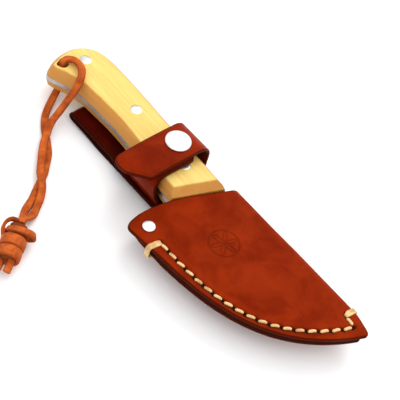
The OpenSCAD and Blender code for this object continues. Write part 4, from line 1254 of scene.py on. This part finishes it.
def makeKeeper():
    mid = sum(keeperX) / 2
    # fixed length: round-ended inner arm, down the belly side where it flares, and behind the loop
    s = np.arange(0, sideCut, 0.8)
    s = np.append(s, sideCut)
    y, z = (np.interp(s, keeperAlong, keeperLine[:, k]) for k in (0, 1))
    flare = keeper["flare"] * np.clip((9.65 - z) / 16.65, 0, 1) * np.clip((-5 - y) / 7, 0, 1)
    flare = np.where(s > lengthWhere((keeperLine[:, 0] < -8) & (keeperLine[:, 1] < 0)) + 8, 0, flare)
    right = np.column_stack([keeperX[1] + flare, s])
    left = np.column_stack([np.full(len(s), keeperX[0]), s])
    r = keeper["width"] * 0.62
    half = math.degrees(math.asin(keeper["width"] / 2 / r))
    end = arc((mid, r), r, 270 - half, 270 + half, 24)
    first = end[0][1]
    right, left = right[right[:, 1] > first + 0.3], left[left[:, 1] > first + 0.3]
    outline = np.vstack([end, right, fillEnd(right[-1], left[-1]), left[::-1]])
    bore = circle((keeper["snap"][0], 13 - keeper["snap"][1]), keeper["bore"] / 2, 24)
    base = keeperPiece("keeperBase", outline, [bore], lambda p: p[:, 1] > sideCut - 0.01,
                       [(everywhere, (1.3, 0.9))])
    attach(base, "sheath")
    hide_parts("keeper_strap")
    # the bend
    left, right = stripOutline(sideCut, flatCut, straight(keeperX[0]), straight(keeperX[1]), 0.7)
    outline = np.vstack([right, fillEnd(right[-1], left[-1]), left[::-1], fillEnd(left[0], right[0])])
    bend = keeperPiece("keeperBend", outline, [],
                       lambda p: (p[:, 1] > flatCut - 0.01) | (p[:, 1] < sideCut + 0.01),
                       [(everywhere, (1.5, 0.6))])
    # the free arm with its clipped tail
    upper = keeperAlong >= flatCut

    def toLength(yy):
        return np.interp(-np.asarray(yy, float), -keeperLine[upper, 0], keeperAlong[upper])

    tail = chain(bezier((keeperX[0], -28), (keeperX[0], -32), (-37, -33.6), (-33, -33.4), 14),
                 bezier((-31, -33.2), (-29, -33), (-27.8, -32.2), (-26, -30.8), 12),
                 np.linspace((-26, -30.8), (keeperX[1], -24.2), 12))
    tail = np.column_stack([tail[:, 0], toLength(tail[:, 1])])
    leftSide = np.column_stack([np.full(40, keeperX[0]), np.linspace(flatCut, tail[0][1], 41)[:-1]])
    rightSide = np.column_stack([np.full(36, keeperX[1]), np.linspace(tail[-1][1], flatCut, 37)[1:]])
    outline = np.vstack([leftSide, tail, rightSide, fillEnd(rightSide[-1], leftSide[0])])
    bore = circle((keeper["snap"][0], float(toLength(keeper["snap"][1]))), keeper["bore"] / 2, 24)
    flap = keeperPiece("keeperFlap", outline, [bore], lambda p: p[:, 1] < flatCut + 0.01,
                       [(everywhere, (1.1, 1.1))])
    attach(flap, "flap")
    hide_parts("keeper_flap")
    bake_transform(bend)


makeKeeper()
print("keeper strap made")


# ---- snap and corner rivet ----
capLow = keeper["flapZ"] + keeper["thick"] / 2
snapCap = lathe("snapCap", [(0, capLow - 2.1), (1.7, capLow - 2.1), (1.7, capLow + 0.02), (6.9, capLow + 0.02),
                            (7.35, capLow + 0.16), (7.5, capLow + 0.5), (7.42, capLow + 0.86), (7.1, capLow + 1.22),
                            (6.5, capLow + 1.5), (5.4, capLow + 1.78), (3.8, capLow + 1.96), (2.0, capLow + 2.06),
                            (0.8, capLow + 2.09), (0, capLow + 2.1)], keeper["snap"], nickel)
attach(snapCap, "flap")
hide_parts("snap_cap")

cornerRivet = (0.6, -38.3)
for name, flip, node in (("cornerRivetFront", 1, "corner_rivet_cap"), ("cornerRivetBack", -1, "corner_rivet_back")):
    z = pouch["half"]
    piece = lathe(name, [(0, z - 2.0), (1.5, z - 2.0), (1.5, z - 0.1), (3.2, z - 0.1), (3.55, z + 0.1),
                         (3.7, z + 0.42), (3.55, z + 0.78), (3.0, z + 1.05), (2.0, z + 1.22), (0.9, z + 1.29),
                         (0, z + 1.3)],
                  cornerRivet, nickel, 48, flip)
    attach(piece, "sheath")
    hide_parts(node)


def wearNode(node, material):  # a CAD metal part keeps its shape and takes the finished metal
    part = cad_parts[node]
    part.data.materials.clear()
    part.data.materials.append(material)


for node in ("snap_socket", "snap_stud", "snap_post"):
    wearNode(node, nickel)


# ---- handle ----
handle = {"halfTang": 1.6, "scale": 7.4, "inset": 4.2, "bevel": 4.5, "top": 9.0,
          "hole": (-114.6, -9.6), "holeRadius": 3.5, "rivetX": (-110.0, -64.7, -19.0),
          "rivetY": (3.6, 5.0, 2.5), "rivetRadius": 3.5}
handleSide = spline([[4.1, 14.8], [-10, 15.6], [-28, 16.4], [-48, 17.3], [-68, 18.5], [-88, 19.3], [-103, 19.3],
                     [-113, 17.2], [-120, 12], [-123.7, 4], [-123.5, -5], [-121, -13], [-117.6, -17.9],
                     [-113.4, -17.9], [-106, -14.6], [-96, -11.4], [-84, -10.3], [-70, -9.7], [-58, -10],
                     [-46, -11.3], [-32, -13.6], [-18, -15.7], [-7.4, -16.4]], 12)


def scaleRing(level, around=220, across=26):
    # The scale's outline at a height, 0 at the tang and 1 at its face.
    inset = handle["inset"] * np.interp(level, [0, 0.3, 0.6, 0.75, 0.88, 0.95, 1],
                                        [0, 0.145, 0.29, 0.47, 0.69, 0.845, 1])
    front = max(0.0, level * handle["scale"] + handle["halfTang"] - handle["top"] + handle["bevel"])
    path = resampled(handleSide, 0.7)
    d = directions(path)
    path = path + np.stack([-d[:, 1], d[:, 0]], 1) * inset
    path = np.vstack([path[0] - d[0] * 5, path, path[-1] + d[-1] * 5])
    a, b = np.array([4.1, 14.8]), np.array([-7.4, -16.4])
    run = (b - a) / np.linalg.norm(b - a)
    away = np.array([run[1], -run[0]])
    f = (path - a) @ away - front
    inside = np.nonzero(f > 0)[0]
    i, k = inside[0], inside[-1]
    first = path[i - 1] + (path[i] - path[i - 1]) * f[i - 1] / (f[i - 1] - f[i])
    last = path[k] + (path[k + 1] - path[k]) * f[k] / (f[k] - f[k + 1])
    path = np.vstack([first, path[i:k + 1], last])
    total = lengthsAlong(path)[-1]
    side = atLengths(path, np.linspace(0, total, around))
    return np.vstack([side, np.linspace(last, first, across)[1:-1]])


def makeScale(name, flip, node):
    levels = [0, 0.02, 0.15, 0.3, 0.39, 0.45, 0.52, 0.6, 0.66, 0.72, 0.78, 0.83, 0.88, 0.92, 0.95, 0.975, 0.99, 1.0]
    rings = [scaleRing(v) for v in levels]
    count = len(rings[0])
    heights = [handle["halfTang"] + v * handle["scale"] for v in levels]
    top = rings[-1]
    d = directions(np.vstack([top[-1], top, top[0]]))[1:-1]
    inward = np.stack([-d[:, 1], d[:, 0]], 1)
    if not isInside((top + inward * 0.5)[:5], top).all():
        inward = -inward
    holes = [circle((x, y), handle["rivetRadius"], 40) for x, y in zip(handle["rivetX"], handle["rivetY"])]
    holes.append(circle(handle["hole"], handle["holeRadius"] + 0.3, 48))
    face = top + inward * 0.35
    loops = [face] + holes
    loops = [l if (area(l) > 0) == (n == 0) else l[::-1] for n, l in enumerate(loops)]
    reverse = area(face) < 0
    inner = lattice(loops, [(everywhere, (3.0, 3.0))], 0.8)
    upP, upF, upB = triangles(loops, inner)
    points = [np.column_stack([r, np.full(count, h)]) for r, h in zip(rings, heights)]
    # edge sets the painted shade: strong on the sides and chamfers, faint at the face's rim, none on the face
    edge = [np.full(count, float(np.interp(v, [0, 0.55, 0.9, 1], [0.85, 0.8, 0.7, 0.14]))) for v in levels]
    faces = ringFaces(len(rings), count, caps=False)
    base = count * len(rings)
    crown = 0.05
    points.append(np.column_stack([upP, np.full(len(upP), handle["top"] + crown)]))
    edge.append(np.zeros(len(upP)))
    faces += [tuple(f + base) for f in upF]
    rim = upB[0][::-1] if reverse else upB[0]
    rim = [r + base for r in rim]
    low = (len(rings) - 1) * count
    faces += [(low + k, low + (k + 1) % count, rim[(k + 1) % count], rim[k]) for k in range(count)]
    bottomLoops = [rings[0]] + [circle((x, y), handle["rivetRadius"], 40) for x, y in
                                zip(handle["rivetX"], handle["rivetY"])] + [circle(handle["hole"],
                                                                                  handle["holeRadius"], 48)]
    bottomLoops = [l if (area(l) > 0) == (n == 0) else l[::-1] for n, l in enumerate(bottomLoops)]
    botP, botF, botB = triangles(bottomLoops, np.zeros((0, 2)))
    start = base + len(upP)
    points.append(np.column_stack([botP, np.full(len(botP), handle["halfTang"])]))
    edge.append(np.full(len(botP), 0.6))
    faces += [tuple(f[::-1] + start) for f in botF]
    for a, b in zip(upB[1:], botB[1:]):
        a, b = [k + base for k in a], [k + start for k in b]
        faces += [(a[(k + 1) % len(a)], a[k], b[k], b[(k + 1) % len(b)]) for k in range(len(a))]
    points = np.vstack(points)
    points[:, 2] *= flip
    flat = points + (0, 0, 40 * (flip < 0))
    work = bmesh.new()
    made = makePiece(name, points, faces, boxwood, sharp=32, values={"edge": np.concatenate(edge)}, flat=flat,
                     recalc=False)
    work.from_mesh(made.data)
    bmesh.ops.remove_doubles(work, verts=work.verts, dist=1e-7)
    bmesh.ops.recalc_face_normals(work, faces=work.faces)
    work.to_mesh(made.data)
    work.free()
    made.data.shade_smooth()
    made.data.set_sharp_from_angle(angle=math.radians(32))
    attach(made, "knife")
    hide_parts(node)
    return made


makeScale("scaleFront", 1, "scale_front")
makeScale("scaleBack", -1, "scale_back")
print("scales made")


# ---- blade and tang in one bar ----
blade = {"backY": 13.3, "edgeY": -16.4, "tip": (101.0, 9.5), "ricasso": 9.0, "grind": 0.62, "edge": 0.2}


def makeBlade():
    bladeBack = bezier((0, blade["backY"]), (50, 13.7), (76, 13.7), blade["tip"], 60)
    bladeEdge = bezier((blade["ricasso"], blade["edgeY"]), (60, -16.6), (84, -16.4), blade["tip"], 90)
    side = resampled(handleSide, 0.8)
    heel = np.linspace((-7.4, blade["edgeY"]), (blade["ricasso"], blade["edgeY"]), 14)[1:-1]
    outline = np.vstack([side, heel, bladeEdge,
                         bladeBack[::-1][1:][bladeBack[::-1][1:, 0] > 4.6], [(4.3, 13.35)]])
    keep = np.linalg.norm(outline - np.roll(outline, 1, 0), axis=1) > 0.1
    outline = outline[keep]
    holes = [circle((x, y), 2.5, 32) for x, y in zip(handle["rivetX"], handle["rivetY"])]
    holes.append(circle(handle["hole"], handle["holeRadius"], 48))
    grind = np.column_stack([bladeEdge[:, 0], bladeEdge[:, 1] + (np.interp(
        bladeEdge[:, 0], bladeBack[:, 0], bladeBack[:, 1]) - bladeEdge[:, 1]) * blade["grind"]])

    def halfThickness(p):
        x, y = p[:, 0], p[:, 1]
        low = np.interp(x, bladeEdge[:, 0], bladeEdge[:, 1])
        high = np.interp(x, grind[:, 0], grind[:, 1])
        share = np.clip((y - low) / np.maximum(high - low, 0.3), 0, 1)
        run = np.clip((x - blade["ricasso"]) / 3.0, 0, 1)
        ground = blade["edge"] + (handle["halfTang"] - blade["edge"]) * share
        honed = np.clip((y - low) / 0.6, 0.12, 1)
        ground = np.where(y - low < 0.6, np.minimum(ground, (blade["edge"] + 0.03) * honed), ground)
        return np.where(x > blade["ricasso"], handle["halfTang"] * (1 - run) + ground * run, handle["halfTang"])

    loops = [l if (area(l) > 0) == (n == 0) else l[::-1] for n, l in enumerate([outline] + holes)]
    rows = [grind, grind + (0, 0.35), grind - (0, 0.35), bladeEdge + (0, 0.6), bladeEdge + (0, 1.3)]
    extra = np.vstack([r[::2] for r in rows])
    extra = extra[isInside(extra, loops[0])]
    extra = extra[distanceTo(extra, loops[0], np.roll(loops[0], -1, 0)) > 0.25]
    near = lattice(loops, [(lambda p: p[:, 0] > 0, (1.6, 1.6)), (everywhere, (3.0, 3.0))], 0.6)
    near = near[pathDistance(near, grind) > 1.0]
    places, faces, border = triangles(loops, np.vstack([extra, near]))
    d = distanceTo(places, np.vstack(loops), np.vstack([np.roll(l, -1, 0) for l in loops]))
    half = halfThickness(places) - np.where(places[:, 0] < 4, 0.12 * (d < 0.05), 0)
    count = len(places)
    points = np.vstack([np.column_stack([places, half]), np.column_stack([places, -half])])
    allFaces = [tuple(f) for f in faces] + [tuple(f[::-1] + count) for f in faces]
    for loopIndex in border:
        for k in range(len(loopIndex)):
            a, b = loopIndex[k], loopIndex[(k + 1) % len(loopIndex)]
            allFaces.append((b, a, a + count, b + count))
    piece = makePiece("bladeAndTang", points, allFaces, bladeSteel, sharp=8)
    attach(piece, "knife")
    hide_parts("blade")


makeBlade()


# ---- handle rivets ----
rivet = {"dome": 0.16, "depth": 1.5, "seed": 4}


def rivetTree():
    tree = bpy.data.node_groups.new("setRivets", "GeometryNodeTree")
    face = tree.interface
    face.new_socket("Geometry", in_out="INPUT", socket_type="NodeSocketGeometry")
    for label, kind in (("Head Radius", "NodeSocketFloat"), ("Depth", "NodeSocketFloat"), ("Dome", "NodeSocketFloat"),
                        ("Seed", "NodeSocketInt"), ("Metal", "NodeSocketMaterial")):
        face.new_socket(label, in_out="INPUT", socket_type=kind)
    face.new_socket("Geometry", in_out="OUTPUT", socket_type="NodeSocketGeometry")
    gin, gout = tree.nodes.new("NodeGroupInput"), tree.nodes.new("NodeGroupOutput")
    out = {s.name: s for s in gin.outputs}
    head = addNode(tree, "GeometryNodeMeshCylinder", sockets={"Vertices": 40, "Side Segments": 6, "Fill Segments": 8},
                   links={"Radius": out["Head Radius"], "Depth": out["Depth"]})
    position = tree.nodes.new("GeometryNodeInputPosition").outputs[0]
    parts = addNode(tree, "ShaderNodeSeparateXYZ", links={0: position})
    flatPlace = addNode(tree, "ShaderNodeCombineXYZ", links={0: parts.outputs[0], 1: parts.outputs[1]})
    reach = addNode(tree, "ShaderNodeVectorMath", {"operation": "LENGTH"}, links={0: flatPlace.outputs[0]})
    share = doMath(tree, "DIVIDE", reach.outputs["Value"], out["Head Radius"])
    sixth = doMath(tree, "POWER", share, 6.0)
    square = doMath(tree, "MULTIPLY", share, share)
    fall = doMath(tree, "ADD", doMath(tree, "MULTIPLY", square, 0.55), doMath(tree, "MULTIPLY", sixth, 1.25))
    lift = doMath(tree, "MULTIPLY", doMath(tree, "SUBTRACT", 1.0, fall), out["Dome"])
    isTop = addNode(tree, "FunctionNodeCompare", {"data_type": "FLOAT", "operation": "GREATER_THAN"},
                    {"B": 0.0}, {"A": doMath(tree, "SUBTRACT", parts.outputs[2],
                                             doMath(tree, "MULTIPLY", out["Depth"], 0.49))})
    domed = addNode(tree, "GeometryNodeSetPosition", links={
        "Geometry": head.outputs["Mesh"], "Selection": isTop.outputs[0],
        "Offset": addNode(tree, "ShaderNodeCombineXYZ", links={2: lift}).outputs[0]})
    lay = addNode(tree, "GeometryNodeInputNamedAttribute", {"data_type": "FLOAT_VECTOR"}, {"Name": "lay"})
    euler = addNode(tree, "FunctionNodeEulerToRotation", links={0: lay.outputs["Attribute"]})
    spin = addNode(tree, "FunctionNodeRandomValue", {"data_type": "FLOAT"}, links={"Seed": out["Seed"]})
    local = addNode(tree, "ShaderNodeCombineXYZ", links={2: doMath(tree, "MULTIPLY", spin.outputs[1], 6.283)})
    turned = addNode(tree, "FunctionNodeRotateRotation", {"rotation_space": "LOCAL"},
                     links={0: euler.outputs[0],
                            1: addNode(tree, "FunctionNodeEulerToRotation", links={0: local.outputs[0]}).outputs[0]})
    placed = addNode(tree, "GeometryNodeInstanceOnPoints", links={
        "Points": out["Geometry"], "Instance": domed.outputs[0], "Rotation": turned.outputs[0]})
    real = addNode(tree, "GeometryNodeRealizeInstances", links={"Geometry": placed.outputs[0]})
    painted = addNode(tree, "GeometryNodeSetMaterial", links={"Geometry": real.outputs[0],
                                                              "Material": out["Metal"]})
    tree.links.new(painted.outputs[0], gout.inputs[0])
    return tree


def makeRivets():
    rotation = seatMatrix.to_3x3().normalized()
    tree = rivetTree()
    for name, side, node in (("rivetHeadsFront", 1, "rivet_posts"), ("rivetHeadsBack", -1, "rivet_sleeves")):
        places = [(x, y, side * (handle["top"] - rivet["depth"] / 2 + 0.06))
                  for x, y in zip(handle["rivetX"], handle["rivetY"])]
        lays = [layAngles(rotation @ Vector((1, 0, 0)), rotation @ Vector((0, 0, side)))] * 3
        inputs = {"Head Radius": handle["rivetRadius"] * 0.001 * 0.985, "Depth": rivet["depth"] * 0.001,
                  "Dome": rivet["dome"] * 0.001, "Seed": rivet["seed"], "Metal": pinMetal}
        piece = geometryPiece(name, tree, inputs, toRow(places), {"lay": lays}, sharp=40)
        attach(piece, "knife")
        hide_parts(node)


makeRivets()
print("blade and rivets made")


# ---- table, light ----
studio = {"world": 1.12, "key": 3.2, "keySize": 0.55, "keyPlace": (-0.20, 0.62, 0.80), "fill": 3.2, "fillSize": 1.3,
          "fillPlace": (0.15, -0.1, 1.3), "floorHalf": 4.0, "floorDrop": 0.0002}


def makeStudio():
    floor = bpy.data.objects.new("floor", bpy.data.meshes.new("floor"))
    h = studio["floorHalf"]
    floor.data.from_pydata([(-h, -h, 0), (h, -h, 0), (h, h, 0), (-h, h, 0)], [], [(0, 1, 2, 3)])
    scene.collection.objects.link(floor)
    floor.location.z = cadLow.z - studio["floorDrop"]
    material, _, shader = newMaterial("whiteSweep")
    shader.inputs["Base Color"].default_value = (0.93, 0.93, 0.935, 1)
    shader.inputs["Roughness"].default_value = 0.9
    shader.inputs["Specular IOR Level"].default_value = 0.1
    floor.data.materials.append(material)
    world = bpy.data.worlds.new("studio")
    scene.world = world
    world.use_nodes = True
    world.node_tree.nodes["Background"].inputs[0].default_value = (1, 1, 1, 1)
    world.node_tree.nodes["Background"].inputs[1].default_value = studio["world"]
    for name, energy, size, place in (("key", studio["key"], studio["keySize"], studio["keyPlace"]),
                                      ("fill", studio["fill"], studio["fillSize"], studio["fillPlace"])):
        light = bpy.data.objects.new(name, bpy.data.lights.new(name, "AREA"))
        light.data.shape = "DISK"
        light.data.size = size
        light.data.energy = energy
        light.location = place
        light.rotation_euler = (-Vector(place)).to_track_quat("-Z", "Y").to_euler()
        scene.collection.objects.link(light)


makeStudio()
print("studio set")

bpy.context.view_layer.update()
